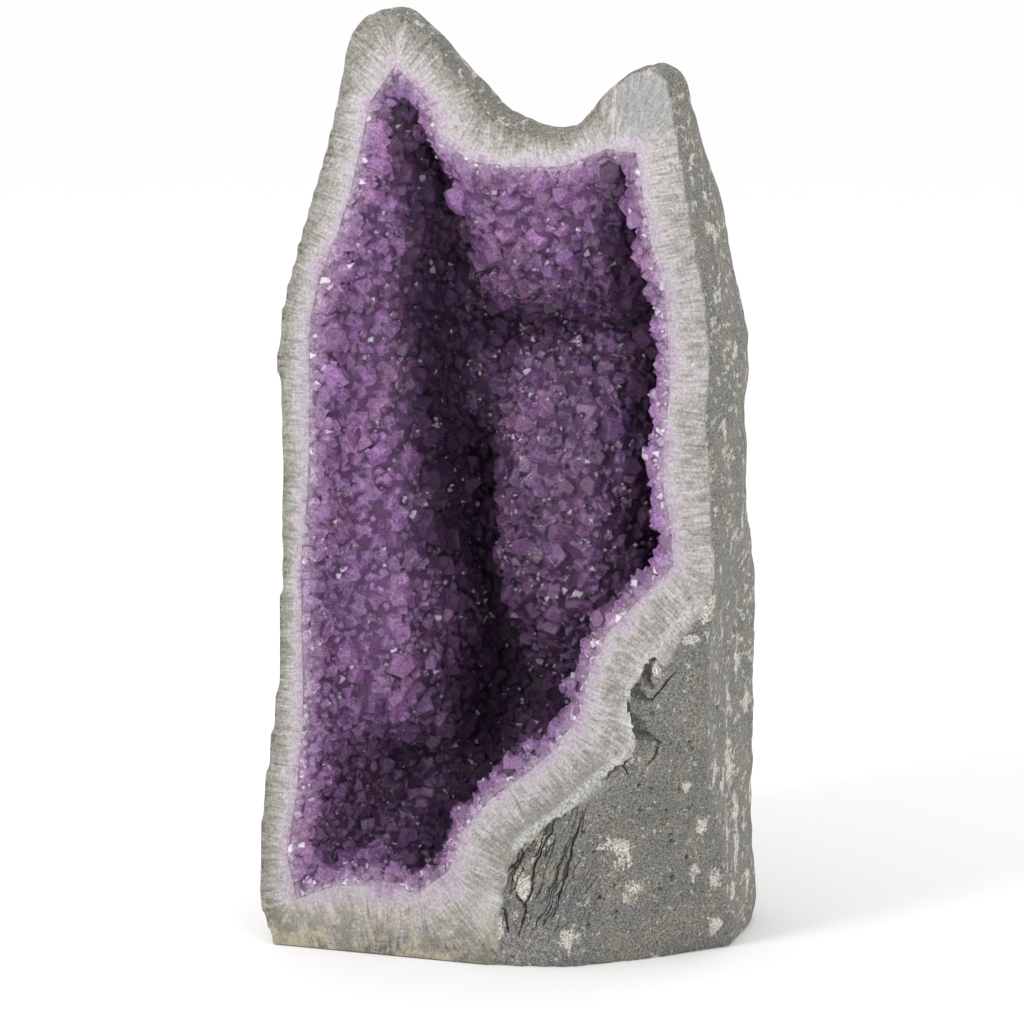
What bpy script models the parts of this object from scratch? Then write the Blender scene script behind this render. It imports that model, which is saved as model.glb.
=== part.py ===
"""A tall amethyst geode that stands on a flat cut base, opened at the front by a flat cut.

Three solids lie inside one another: the basalt host rock, the band of pale quartz that lines
its hollow, and the crust of amethyst crystals that grew on the band. Lengths are in metres.
The flat front cut is the plane Y = 0 while the piece is built, and the hollow lies behind it.
At the end everything is moved so that the middle of the base is the origin.
"""

import math
import random

import bmesh
import bpy
from mathutils import Matrix, Vector, noise

MM = 0.001

# Driving dimensions
BODY_DEPTH = 168 * MM
HOLLOW_DEPTH = 124 * MM
CENTRE_X = 0.0
CENTRE_Z = 210 * MM
LAYER_GAP = 0.4 * MM
CRUST_THICKNESS = 9 * MM
BAND_THICKNESS = 12 * MM
CRYSTAL_COUNT = 620
CRYSTAL_HEIGHT = 8.5 * MM
EDGE_TOP = Vector((104 * MM, 0.0, 197 * MM))
EDGE_FOOT = Vector((90 * MM, 62 * MM, 0.0))

# The boulder's outline at the front as it was before the corner broke off, in mm (X, Z)
BOULDER_OUTLINE = [
    (-60, -90), (-108, -50), (-122, 0), (-129, 20), (-129, 40), (-127, 73), (-124, 97),
    (-119, 134), (-117, 182), (-115, 240), (-117, 293), (-113, 322), (-106, 346),
    (-98, 369), (-91, 392), (-85, 414), (-80, 437), (-77, 448), (-71, 457), (-63, 460),
    (-56, 460), (-46, 457), (-37, 451), (-27, 440), (-17, 429), (-7, 417), (3, 411),
    (12, 407), (22, 406), (32, 408), (41, 417), (51, 427), (60, 433), (70, 436),
    (79, 431), (83, 408), (88, 379), (91, 360), (97, 329), (100, 304), (99, 266),
    (101, 230), (104, 200), (100, 150), (98, 100), (99, 50), (101, 0), (96, -50),
    (60, -88), (0, -96),
]

# The lower right edge of the flat cut, where the slanting break meets it, in mm (X, Z)
BROKEN_EDGE = [
    (-8, -20), (-8, 0), (-11, 17), (-11, 27), (-9, 37), (-5, 47), (0, 55), (7, 63),
    (16, 71), (26, 78), (39, 91), (50, 101), (59, 107), (65, 115), (64, 125), (61, 134),
    (63, 144), (69, 153), (76, 165), (85, 174), (93, 184), (101, 190), (105, 198),
]

# Where the pale band ends and the purple crystals begin on the cut, in mm (X, Z)
CRYSTAL_OUTLINE = [
    (-54, 433), (-61, 428), (-66, 418), (-69, 406), (-77, 372), (-84, 352), (-92, 336),
    (-98, 315), (-99, 275), (-99, 229), (-103, 210), (-104, 166), (-103, 121),
    (-107, 80), (-113, 44), (-108, 24), (-87, 33), (-57, 36), (-39, 32), (-31, 40),
    (-21, 66), (-4, 87), (17, 101), (36, 122), (45, 162), (61, 180), (88, 208),
    (77, 231), (78, 262), (81, 283), (78, 333), (70, 356), (65, 391), (61, 403),
    (53, 399), (40, 390), (19, 386), (-7, 388), (-29, 390), (-36, 415), (-46, 429),
]

# Width of dark rock between the band and the edge of the cut, as (angle in degrees, mm)
RIND_WIDTH = [
    (0, 4.5), (30, 5), (55, 7), (66, 9), (72, 20), (77, 11), (83, 4), (95, 6), (102, 13),
    (108, 10), (115, 5), (165, 5), (205, 5), (232, 8), (240, 16), (250, 18), (262, 15),
    (268, 9), (275, 5), (300, 4), (350, 4), (360, 4.5),
]

# Worn edge between the cut and the outside, as (angle in degrees, mm)
WORN_EDGE = [
    (0, 0), (66, 0), (72, 1), (78, 4), (86, 4), (95, 7), (101, 2), (108, 1), (225, 2),
    (245, 0), (360, 0),
]

# How far the outside swells half way back, as (angle in degrees, mm)
SIDE_SWELL = [
    (0, 0), (10, 5), (35, 7), (60, 5), (75, 0), (86, -2), (95, -6), (101, 0), (150, -2),
    (230, -2), (270, 0), (300, -9), (335, -9), (350, -4), (360, 0),
]

# How far the hollow widens behind the cut, as (angle in degrees, mm)
UNDERCUT = [
    (0, 2), (40, 1), (75, 2), (100, 2), (150, 0), (215, 0), (250, 4), (275, 18),
    (300, 28), (325, 22), (345, 8), (360, 2),
]


def interpolate(table, value):
    """The value of a table of (position, value) pairs between two of its entries."""
    for (start, first), (end, last) in zip(table, table[1:]):
        if start <= value <= end:
            return first + (last - first) * (value - start) / (end - start)
    return table[-1][1]


def smooth_step(value, start, end):
    """0 below start and 1 above end, with an S-shaped rise between them."""
    share = min(max((value - start) / (end - start), 0.0), 1.0)
    return share * share * (3 - 2 * share)


def corner_angles(outline, spacing):
    """Angles from the centre to an outline's corners and to points between them."""
    angles = []
    for start, end in zip(outline, outline[1:] + outline[:1]):
        start, end = Vector(start), Vector(end)
        pieces = max(1, round((end - start).length / spacing))
        for piece in range(pieces):
            point = start.lerp(end, piece / pieces)
            angles.append(math.atan2(point.y - CENTRE_Z / MM, point.x - CENTRE_X / MM))
    return sorted(angle % (2 * math.pi) for angle in angles)


def outline_radius(outline, angle):
    """Distance from the centre of the cut to an outline given in mm, along an angle."""
    ray_x = math.cos(angle)
    ray_z = math.sin(angle)
    nearest = 0.0
    for (ax, az), (bx, bz) in zip(outline, outline[1:] + outline[:1]):
        ax, bx = ax * MM - CENTRE_X, bx * MM - CENTRE_X
        az, bz = az * MM - CENTRE_Z, bz * MM - CENTRE_Z
        side_a = ray_x * az - ray_z * ax
        side_b = ray_x * bz - ray_z * bx
        if side_a * side_b > 0 or side_a == side_b:
            continue
        share = side_a / (side_a - side_b)
        reach = ray_x * (ax + share * (bx - ax)) + ray_z * (az + share * (bz - az))
        nearest = max(nearest, reach)
    return nearest


def cut_outline():
    """The edge of the flat cut: the boulder's outline with the broken edge in its corner."""
    top = [(x, z) for x, z in BOULDER_OUTLINE if z >= 0 and (x < 0 or z > 198)]
    return top + [(x, z) for x, z in BROKEN_EDGE[::-1] if z >= 0]


CUT_OUTLINE = cut_outline()


def even_angles(outline, count):
    """Angles from the centre to points that lie evenly spaced along an outline."""
    sides = [
        (Vector(start), Vector(end)) for start, end in zip(outline, outline[1:] + outline[:1])
    ]
    total = sum((end - start).length for start, end in sides)
    angles = []
    passed = 0.0
    for start, end in sides:
        length = (end - start).length
        while len(angles) * total / count < passed + length:
            share = (len(angles) * total / count - passed) / length
            point = start.lerp(end, share)
            angles.append(math.atan2(point.y - CENTRE_Z / MM, point.x - CENTRE_X / MM))
        passed += length
    return sorted(angle % (2 * math.pi) for angle in angles[:count])


def cut_radius(angle):
    """Radius of the flat cut's edge, worn edge taken off."""
    degrees = math.degrees(angle) % 360
    return outline_radius(CUT_OUTLINE, angle) - interpolate(WORN_EDGE, degrees) * MM


def band_radius(angle):
    """Radius of the outside of the pale band on the cut."""
    degrees = math.degrees(angle) % 360
    return cut_radius(angle) - interpolate(RIND_WIDTH, degrees) * MM


def crystal_radius(angle):
    """Radius of the outside of the crystal crust on the cut."""
    return outline_radius(CRYSTAL_OUTLINE, angle)


def lobe(value, middle, half_width):
    """1 at the middle of a rounded lobe, falling quickly to 0 outside its half width."""
    return math.exp(-(((value - middle) / half_width) ** 4))


def back_relief(x, z):
    """How far the lobes of the hollow's back wall stand forward, in metres."""
    left_column = 74 * lobe(x, -82 * MM, 31 * MM) * smooth_step(z, 84 * MM, 112 * MM)
    upper_block = 60 * lobe(x, 4 * MM, 50 * MM) * lobe(z, 356 * MM, 42 * MM)
    main_lobe = 66 * lobe(x, 13 * MM, 40 * MM) * lobe(z, 222 * MM, 78 * MM)
    small_lobe = 34 * lobe(x, -42 * MM, 17 * MM) * lobe(z, 278 * MM, 26 * MM)
    return MM * max(left_column, upper_block, main_lobe, small_lobe)


def back_depth(z):
    """Depth of the hollow without its lobes: less towards the top and the floor."""
    top = 1 - 0.62 * smooth_step(z, 330 * MM, 445 * MM)
    floor = 1 - 0.25 * smooth_step(-z, -110 * MM, -20 * MM)
    return HOLLOW_DEPTH * top * floor


def hollow_point(angle, turn, radius, behind, relief):
    """A point of the hollow's wall: turn runs from 0 at the cut to 1 at its deepest point.

    behind is how far this layer lies behind the crystals, and relief is its share of the lobes.
    """
    swing = turn * math.pi / 2
    across = math.cos(swing) ** 0.62 if turn < 1 else 0.0
    inward = math.sin(swing) ** 0.72
    degrees = math.degrees(angle) % 360
    widening = interpolate(UNDERCUT, degrees) * MM * math.sin(2 * swing)
    reach = radius * across + widening * min(1.0, across * 1.5)
    x = CENTRE_X + reach * math.cos(angle)
    z = CENTRE_Z + reach * math.sin(angle)
    depth = back_depth(z) + behind - relief * back_relief(x, z)
    return Vector((x, max(depth, 20 * MM) * inward, z))


def closed_rings(name, rings, pole):
    """A closed mesh from rings of points, from the front to the back, and a last point."""
    shape = bmesh.new()
    rows = [[shape.verts.new(point) for point in ring] for ring in rings]
    last = shape.verts.new(pole)
    count = len(rows[0])
    shape.faces.new(rows[0])
    for row, following in zip(rows, rows[1:]):
        for i in range(count):
            j = (i + 1) % count
            shape.faces.new((row[i], row[j], following[j], following[i]))
    for i in range(count):
        shape.faces.new((rows[-1][i], rows[-1][(i + 1) % count], last))
    bmesh.ops.triangulate(shape, faces=shape.faces)
    bmesh.ops.recalc_face_normals(shape, faces=shape.faces)
    mesh = bpy.data.meshes.new(name)
    shape.to_mesh(mesh)
    shape.free()
    made = bpy.data.objects.new(name, mesh)
    bpy.context.scene.collection.objects.link(made)
    return made


def hollow_layer(name, outline, radius_of, behind, relief, shrink=0.0, around=48, steps=10):
    """A closed solid that fills the hollow up to one of its layers, and sticks out in front."""
    angles = even_angles(outline, around)
    rings = []
    for step in range(steps):
        ring = []
        for angle in angles:
            ring.append(hollow_point(angle, step / steps, radius_of(angle), behind, relief))
        rings.append(ring)
    rings.insert(0, [point + Vector((0, -20 * MM, 0)) for point in rings[0]])
    layer = closed_rings(name, rings, hollow_point(0.0, 1.0, 0.0, behind, relief))
    normals = [vertex.normal.copy() for vertex in layer.data.vertices]
    for vertex, normal in zip(layer.data.vertices, normals):
        vertex.co -= normal * shrink
    return layer


def boulder():
    """The whole boulder: its front outline carried backwards, rounding off to its back.

    Behind the cut the two ears and the saddle between them soon melt into one dome.
    """
    angles = corner_angles(BOULDER_OUTLINE, 19)
    depths = [-20, 0, 12, 26, 44, 64, 84, 103, 120, 135, 148, 158, 165]
    rings = []
    for depth in depths:
        share = max(depth, 0) * MM / BODY_DEPTH
        ring = []
        for angle in angles:
            degrees = math.degrees(angle) % 360
            lower = smooth_step(-math.sin(angle), -0.2, 0.7)
            fullness = 2.5 + 3.5 * lower
            size = (1 - share**fullness) ** 0.46
            worn = interpolate(WORN_EDGE, degrees) * (1 - smooth_step(depth, 2, 28))
            swell = interpolate(SIDE_SWELL, degrees) * math.sin(math.pi * min(share * 1.4, 1))
            radius = outline_radius(BOULDER_OUTLINE, angle)
            if math.sin(angle) > 0:
                dome = min(radius, 200 * MM)
                start = 6 if 80 < degrees < 101 else 24
                radius += (dome - radius) * smooth_step(depth, start, 100)
            radius = radius * size + (swell - worn) * MM
            point = Vector((math.cos(angle), 0, math.sin(angle))) * radius
            point += Vector((CENTRE_X, depth * MM, CENTRE_Z))
            lump = noise.noise(point * 26) * 3.2 + noise.noise(point * 70) * 1.4 - 1.0
            sunk = smooth_step(depth, 12, 60)
            point += Vector((math.cos(angle), 0, math.sin(angle))) * lump * sunk * MM
            ring.append(point)
        rings.append(ring)
    pole = Vector((CENTRE_X, BODY_DEPTH, CENTRE_Z - 20 * MM))
    return closed_rings("basalt_matrix", rings, pole)


def broken_corner():
    """The wedge that broke off at the lower right, as a solid to take away.

    Each height has a row of points: in front of the cut, on its edge, in the crease beside the
    band, twice across the slanting face, on its far edge, and outside.
    """
    shape = bmesh.new()
    rows = []
    for x, z in BROKEN_EDGE:
        height = z * MM
        share = min(max(1 - height / EDGE_TOP.z, 0.0), 1.05)
        rim = Vector((x * MM, 0.0, height))
        far = EDGE_TOP.lerp(EDGE_FOOT, share)
        far = Vector((max(far.x, rim.x + 2 * MM), far.y + 0.5 * MM, height))
        across = far - rim
        outward = Vector((across.y, -across.x, 0)).normalized()
        crease = 7 * MM * lobe(z, 128, 26) + 3 * MM * lobe(z, 45, 40)
        crease *= min(1.0, across.length / (30 * MM))
        near = rim + across * 0.11 + outward * (6 * MM * share - crease)
        middle = rim + across * 0.30 + outward * 13.4 * MM * share
        outer = rim + across * 0.69 + outward * 9.4 * MM * share
        beyond = far + Vector((45 * MM, 30 * MM, 0))
        row = [
            rim + Vector((0, -40 * MM, 0)),
            rim,
            near,
            middle,
            outer,
            far,
            beyond,
            Vector((beyond.x, -40 * MM, height)),
        ]
        rows.append([shape.verts.new(point) for point in row])
    for row, following in zip(rows, rows[1:]):
        for i in range(len(row)):
            j = (i + 1) % len(row)
            shape.faces.new((row[i], row[j], following[j], following[i]))
    shape.faces.new(rows[0])
    shape.faces.new(rows[-1])
    bmesh.ops.triangulate(shape, faces=shape.faces)
    bmesh.ops.recalc_face_normals(shape, faces=shape.faces)
    mesh = bpy.data.meshes.new("broken_corner")
    shape.to_mesh(mesh)
    shape.free()
    made = bpy.data.objects.new("broken_corner", mesh)
    bpy.context.scene.collection.objects.link(made)
    return made


def box_between(name, low, high):
    """A box between two corners given in metres."""
    bpy.ops.mesh.primitive_cube_add(size=1)
    made = bpy.context.object
    made.name = name
    low, high = Vector(low), Vector(high)
    made.data.transform(Matrix.Diagonal((*(high - low), 1)))
    made.data.transform(Matrix.Translation((low + high) / 2))
    return made


def as_cutter(cutter):
    """Hides a helper solid that only cuts others."""
    cutter.hide_render = True
    cutter.display_type = "WIRE"


def apply_modifiers(target):
    """Makes the modifiers of an object part of its mesh."""
    bpy.context.view_layer.objects.active = target
    for modifier in list(target.modifiers):
        bpy.ops.object.modifier_apply(modifier=modifier.name)


def cut_away(target, cutters):
    """Takes the cutters away from a solid."""
    for cutter in cutters:
        as_cutter(cutter)
        modifier = target.modifiers.new(cutter.name, "BOOLEAN")
        modifier.operation = "DIFFERENCE"
        modifier.solver = "EXACT"
        modifier.use_self = cutter.name == "crystal_hollow"
        modifier.object = cutter
    apply_modifiers(target)


def drop_chips(target):
    """Removes the loose chips that crossing crystal tips leave, and keeps the crust."""
    shape = bmesh.new()
    shape.from_mesh(target.data)
    waiting = set(shape.verts)
    bodies = []
    while waiting:
        body = [waiting.pop()]
        for vertex in body:
            for edge in vertex.link_edges:
                other = edge.other_vert(vertex)
                if other in waiting:
                    waiting.remove(other)
                    body.append(other)
        bodies.append(body)
    bodies.sort(key=len)
    for body in bodies[:-1]:
        bmesh.ops.delete(shape, geom=body, context="VERTS")
    shape.to_mesh(target.data)
    shape.free()


def crystal_hollow():
    """The open hollow inside the crystals: its wall is broken into flat-faced points.

    An even, irregular net of triangles is laid on the wall. Each corner of the net becomes a
    crystal's tip that stands into the hollow, and each triangle's middle the valley between
    three crystals, so that every crystal has four to eight flat faces.
    """
    net = hollow_layer(
        "crystal_hollow", CRYSTAL_OUTLINE, crystal_radius, 0.0, 1.0, 4.5 * MM, 150, 64
    )
    rng = random.Random(11)
    remesh = net.modifiers.new("even", "REMESH")
    remesh.mode = "VOXEL"
    remesh.voxel_size = 4 * MM
    apply_modifiers(net)
    for vertex in net.data.vertices:
        vertex.co += Vector([rng.uniform(-1.3, 1.3) * MM for _ in range(3)])
    thin = net.modifiers.new("net", "DECIMATE")
    thin.ratio = CRYSTAL_COUNT / len(net.data.polygons)
    apply_modifiers(net)
    shape = bmesh.new()
    shape.from_mesh(net.data)
    bmesh.ops.triangulate(shape, faces=shape.faces)
    few = [vertex for vertex in shape.verts if len(vertex.link_edges) < 4]
    bmesh.ops.dissolve_verts(shape, verts=few)
    bmesh.ops.triangulate(shape, faces=shape.faces)
    loose = [edge for edge in shape.edges if not edge.link_faces]
    bmesh.ops.delete(shape, geom=loose, context="EDGES")
    shape.normal_update()
    crystals = bmesh.new()
    tips = {}
    valleys = {}
    for vertex in shape.verts:
        height = CRYSTAL_HEIGHT * rng.uniform(0.6, 1.2)
        lean = Vector([rng.uniform(-1, 1) for _ in range(3)]) * 1.6 * MM
        tips[vertex] = crystals.verts.new(vertex.co - vertex.normal * height + lean)
    for face in shape.faces:
        valleys[face] = crystals.verts.new(face.calc_center_median())
    for edge in shape.edges:
        one, other = edge.link_faces
        for vertex in edge.verts:
            crystals.faces.new((tips[vertex], valleys[one], valleys[other]))
    bmesh.ops.recalc_face_normals(crystals, faces=crystals.faces)
    crystals.to_mesh(net.data)
    crystals.free()
    shape.free()
    return net


def give_material(target, name, colour, roughness, transmission=0.0):
    """One plain material for one sub-part."""
    material = bpy.data.materials.new(name)
    material.use_nodes = True
    shader = material.node_tree.nodes["Principled BSDF"]
    shader.inputs["Base Color"].default_value = (*colour, 1)
    shader.inputs["Roughness"].default_value = roughness
    shader.inputs["Metallic"].default_value = 0.0
    shader.inputs["Transmission Weight"].default_value = transmission
    material.diffuse_color = (*colour, 1)
    target.data.materials.clear()
    target.data.materials.append(material)


for old in list(bpy.data.objects):
    bpy.data.objects.remove(old)

front = box_between("front_cut", (-0.3, -0.1, -0.2), (0.3, 0.0, 0.6))
floor = box_between("base_cut", (-0.3, -0.1, -0.2), (0.3, 0.3, 0.0))

basalt = boulder()
behind_band = CRUST_THICKNESS + BAND_THICKNESS
band_bed = hollow_layer("band_bed", CUT_OUTLINE, band_radius, behind_band, 0.35)
cut_away(basalt, [front, floor, broken_corner(), band_bed])

band = hollow_layer("quartz_band", CUT_OUTLINE, band_radius, behind_band, 0.35, LAYER_GAP)
crust_bed = hollow_layer("crust_bed", CRYSTAL_OUTLINE, crystal_radius, CRUST_THICKNESS, 0.45)
cut_away(band, [front, crust_bed])

crust = hollow_layer(
    "amethyst_druse", CRYSTAL_OUTLINE, crystal_radius, CRUST_THICKNESS, 0.45, LAYER_GAP
)
cut_away(crust, [front, crystal_hollow()])
drop_chips(crust)

give_material(basalt, "basalt", (0.28, 0.27, 0.25), 0.85)
give_material(band, "quartz", (0.80, 0.79, 0.76), 0.35)
give_material(crust, "amethyst", (0.30, 0.13, 0.42), 0.15, 0.4)

corners = [Vector(corner) for corner in basalt.bound_box]
middle_x = (min(c.x for c in corners) + max(c.x for c in corners)) / 2
middle_y = (min(c.y for c in corners) + max(c.y for c in corners)) / 2
for piece in (basalt, band, crust):
    piece.data.transform(Matrix.Translation((-middle_x, -middle_y, 0)))
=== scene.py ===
"""The looks of a standing amethyst druse: basalt, pale quartz rim and violet crystals."""

import math
from itertools import product

import bmesh
import bpy
import numpy as np
from mathutils import Matrix, Vector, noise
from mathutils.bvhtree import BVHTree
from mathutils.kdtree import KDTree


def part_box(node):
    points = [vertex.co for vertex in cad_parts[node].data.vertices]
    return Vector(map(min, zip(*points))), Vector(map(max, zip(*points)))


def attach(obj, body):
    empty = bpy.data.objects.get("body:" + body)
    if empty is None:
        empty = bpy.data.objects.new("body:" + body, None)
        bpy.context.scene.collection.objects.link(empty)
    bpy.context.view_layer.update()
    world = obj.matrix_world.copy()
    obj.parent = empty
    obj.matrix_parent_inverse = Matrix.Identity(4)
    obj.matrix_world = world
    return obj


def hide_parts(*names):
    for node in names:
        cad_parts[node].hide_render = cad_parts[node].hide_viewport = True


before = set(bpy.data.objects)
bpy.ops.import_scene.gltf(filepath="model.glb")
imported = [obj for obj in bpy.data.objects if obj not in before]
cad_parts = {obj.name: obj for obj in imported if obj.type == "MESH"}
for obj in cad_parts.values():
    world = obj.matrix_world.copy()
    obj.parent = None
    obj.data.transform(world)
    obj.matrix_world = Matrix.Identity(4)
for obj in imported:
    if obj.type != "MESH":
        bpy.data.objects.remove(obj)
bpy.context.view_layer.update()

MM = 0.001
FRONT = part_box("quartz_band")[0].y


# Stage
# A plain pale floor and soft studio light, all of it outside the object.
# The camera stands to the right of the cut face and looks a little down on it.

bpy.ops.object.select_all(action="DESELECT")
bpy.ops.mesh.primitive_plane_add(size=80, location=(0, 0, -0.0002))
floor = bpy.context.object
floor.name = "floor"


def new_finish(name):
    """An empty finish with its nodes, as the material, its tree and its shader."""
    finish = bpy.data.materials.new(name)
    finish.use_nodes = True
    return finish, finish.node_tree, finish.node_tree.nodes["Principled BSDF"]


floor_finish, _, floor_shader = new_finish("pale_floor")
floor_shader.inputs["Base Color"].default_value = (0.985, 0.985, 0.985, 1)
floor_shader.inputs["Roughness"].default_value = 0.9
floor.data.materials.append(floor_finish)

world = bpy.data.worlds.new("studio")
bpy.context.scene.world = world
world.use_nodes = True
sky = world.node_tree.nodes["Background"]
sky.inputs["Color"].default_value = (1, 1, 1, 1)
sky.inputs["Strength"].default_value = 1.0
bpy.context.scene.view_settings.view_transform = "Standard"


def soft_light(name, place, aim, size, watts):
    """A square soft light that faces a point of the object."""
    light = bpy.data.lights.new(name, "AREA")
    light.size = size
    light.energy = watts
    lamp = bpy.data.objects.new(name, light)
    bpy.context.scene.collection.objects.link(lamp)
    lamp.location = place
    lamp.rotation_euler = (Vector(aim) - Vector(place)).to_track_quat("-Z", "Y").to_euler()


HEART = (0.0, FRONT, 0.22)
soft_light("key", (-0.9, -1.8, 1.7), HEART, 0.6, 22)
soft_light("fill", (1.5, -1.5, 0.8), HEART, 0.8, 4)

CAMERA_AZIMUTH = math.radians(18)
CAMERA_PITCH = math.radians(10)
CAMERA_DISTANCE = 1.7
AIM = Vector((0.0155, FRONT, 0.2239))
lens = bpy.data.cameras.new("camera")
lens.lens = 126.3
lens.sensor_width = 36
lens.clip_start = 0.01
camera = bpy.data.objects.new("camera", lens)
bpy.context.scene.collection.objects.link(camera)
away = Vector((
    math.sin(CAMERA_AZIMUTH) * math.cos(CAMERA_PITCH),
    -math.cos(CAMERA_AZIMUTH) * math.cos(CAMERA_PITCH),
    math.sin(CAMERA_PITCH),
))
camera.location = AIM + away * CAMERA_DISTANCE
camera.rotation_euler = (-away).to_track_quat("-Z", "Y").to_euler()
bpy.context.scene.camera = camera


# Host rock
# The geode grew in a gas bubble of a basalt flow. The rock is grey, fine grained and full of
# small gas pits. It was sawn and ground flat at the front and at the base, and its lower right
# corner broke off along a slanting, cracked face.

ROCK_GRID = 2.8 * MM
ON_CUT = 0.05 * MM
# A normal below this along an axis counts as square to the saw cut
SQUARE_ON = -0.6
LINE_STEP = 0.5 * MM
PLUG_SWELL = 0.7 * MM


def merged_copy(solid, name):
    """A copy of a CAD node with its loose triangles joined, as a new object."""
    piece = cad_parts[solid].copy()
    piece.data = piece.data.copy()
    piece.name = name
    piece.data.name = name
    bpy.context.scene.collection.objects.link(piece)
    piece.parent = None
    shape = bmesh.new()
    shape.from_mesh(piece.data)
    bmesh.ops.remove_doubles(shape, verts=shape.verts, dist=2e-6)
    shape.to_mesh(piece.data)
    shape.free()
    piece.data.materials.clear()
    only(piece)
    bpy.ops.mesh.customdata_custom_splitnormals_clear()
    return piece


def only(piece):
    """Selects one object and makes it active."""
    bpy.ops.object.select_all(action="DESELECT")
    piece.select_set(True)
    bpy.context.view_layer.objects.active = piece


def apply_modifier(piece, kind, **settings):
    """Adds a modifier to a piece, sets it and applies it."""
    only(piece)
    modifier = piece.modifiers.new("step", kind)
    for setting, value in settings.items():
        setattr(modifier, setting, value)
    bpy.ops.object.modifier_apply(modifier=modifier.name)


def edit_faces(piece, numbers):
    """Opens a piece for editing with only the faces of these numbers selected."""
    only(piece)
    bpy.ops.object.mode_set(mode="EDIT")
    bpy.ops.mesh.select_mode(type="FACE")
    bpy.ops.mesh.select_all(action="DESELECT")
    bpy.ops.object.mode_set(mode="OBJECT")
    chosen = np.zeros(len(piece.data.polygons), bool)
    chosen[list(numbers)] = True
    piece.data.polygons.foreach_set("select", chosen)
    bpy.ops.object.mode_set(mode="EDIT")


def rows_of(members, key):
    """Three numbers of each member of a mesh's list, as rows of an array."""
    rows = np.empty(len(members) * 3)
    members.foreach_get(key, rows)
    return rows.reshape(-1, 3)


def places(piece):
    """The places of all vertices of a piece."""
    return rows_of(piece.data.vertices, "co")


def outward(piece):
    """The vertex normals of a piece."""
    return rows_of(piece.data.vertex_normals, "vector")


def put(piece, rows):
    """Moves the vertices of a piece to new places."""
    piece.data.vertices.foreach_set("co", np.asarray(rows, float).ravel())
    piece.data.update()


def cut_face_of(shape):
    """The faces of a mesh that lie on the flat cut."""
    return {face for face in shape.faces if max(vert.co.y for vert in face.verts) < FRONT + ON_CUT}


def rims_of_cut(shape, on_cut):
    """The closed loops of vertices round the faces on the cut, the longest loop first."""
    rim = [edge for edge in shape.edges if sum(face in on_cut for face in edge.link_faces) == 1]
    at_corner = {}
    for edge in rim:
        for vert in edge.verts:
            at_corner.setdefault(vert, []).append(edge)
    used = set()
    loops = []
    for edge in rim:
        if edge in used:
            continue
        used.add(edge)
        loop = [edge.verts[0], edge.verts[1]]
        while True:
            onward = [other for other in at_corner[loop[-1]] if other not in used]
            if not onward:
                break
            used.add(onward[0])
            loop.append(onward[0].other_vert(loop[-1]))
        loops.append(loop[:-1])

    def length(loop):
        return sum((a.co - b.co).length for a, b in zip(loop, loop[1:] + loop[:1]))

    return sorted(loops, key=length, reverse=True)


def behind(loop, on_cut):
    """The numbers of the faces that hang together behind one edge of the cut."""
    found = {face for vert in loop for face in vert.link_faces if face not in on_cut}
    heap = list(found)
    while heap:
        for edge in heap.pop().edges:
            for face in edge.link_faces:
                if face not in found and face not in on_cut:
                    found.add(face)
                    heap.append(face)
    return {face.index for face in found}


def search_tree(spots):
    """A tree that finds the nearest of many places."""
    tree = KDTree(len(spots))
    for number, spot in enumerate(spots):
        tree.insert(spot, number)
    tree.balance()
    return tree


def flat_tree(line):
    """A tree that finds the nearest point of a line of (x, z) points on the cut."""
    return search_tree([(x, 0, z) for x, z in line])


def write_layer(piece, name, values, kind="FLOAT"):
    """Stores a value at each vertex of a piece, for its finish."""
    layer = piece.data.attributes.new(name, kind, "POINT")
    layer.data.foreach_set("vector" if kind == "FLOAT_VECTOR" else "value", np.ravel(values))


def outline_of(loop):
    """The outline of a loop on the cut as (x, z) points about half a millimetre apart."""
    points = []
    for start, end in zip(loop, loop[1:] + loop[:1]):
        parts = max(1, round((end.co - start.co).length / LINE_STEP))
        for part in range(parts):
            point = start.co.lerp(end.co, part / parts)
            points.append((point.x, point.z))
    return points


host_rock = merged_copy("basalt_matrix", "host_rock")
rock = bmesh.new()
rock.from_mesh(host_rock.data)
rock_edges = [point for loop in rims_of_cut(rock, cut_face_of(rock)) for point in outline_of(loop)]
rock.free()

# The outside of the quartz band, closed at the cut: a plug of the shape of the hollow
plug = merged_copy("quartz_band", "plug")
band = bmesh.new()
band.from_mesh(plug.data)
band.faces.ensure_lookup_table()
band_cut = cut_face_of(band)
band_rims = rims_of_cut(band, band_cut)
band_edge = outline_of(band_rims[0])
crystal_edge = outline_of(band_rims[1])
band_rest = set(range(len(band.faces))) - behind(band_rims[0], band_cut)
band.free()
edit_faces(plug, band_rest)
bpy.ops.mesh.delete(type="FACE")
bpy.ops.mesh.select_mode(type="EDGE")
bpy.ops.mesh.select_non_manifold()
bpy.ops.mesh.edge_face_add()
bpy.ops.mesh.select_all(action="SELECT")
bpy.ops.mesh.normals_make_consistent(inside=False)
bpy.ops.object.mode_set(mode="OBJECT")
saw_plug = plug.copy()
saw_plug.data = plug.data.copy()
bpy.context.scene.collection.objects.link(saw_plug)
caps = [face.index for face in saw_plug.data.polygons if face.center.y < FRONT + ON_CUT]
edit_faces(saw_plug, caps)
bpy.ops.mesh.extrude_region_move(TRANSFORM_OT_translate={"value": (0, -8 * MM, 0)})
bpy.ops.object.mode_set(mode="OBJECT")

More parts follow.
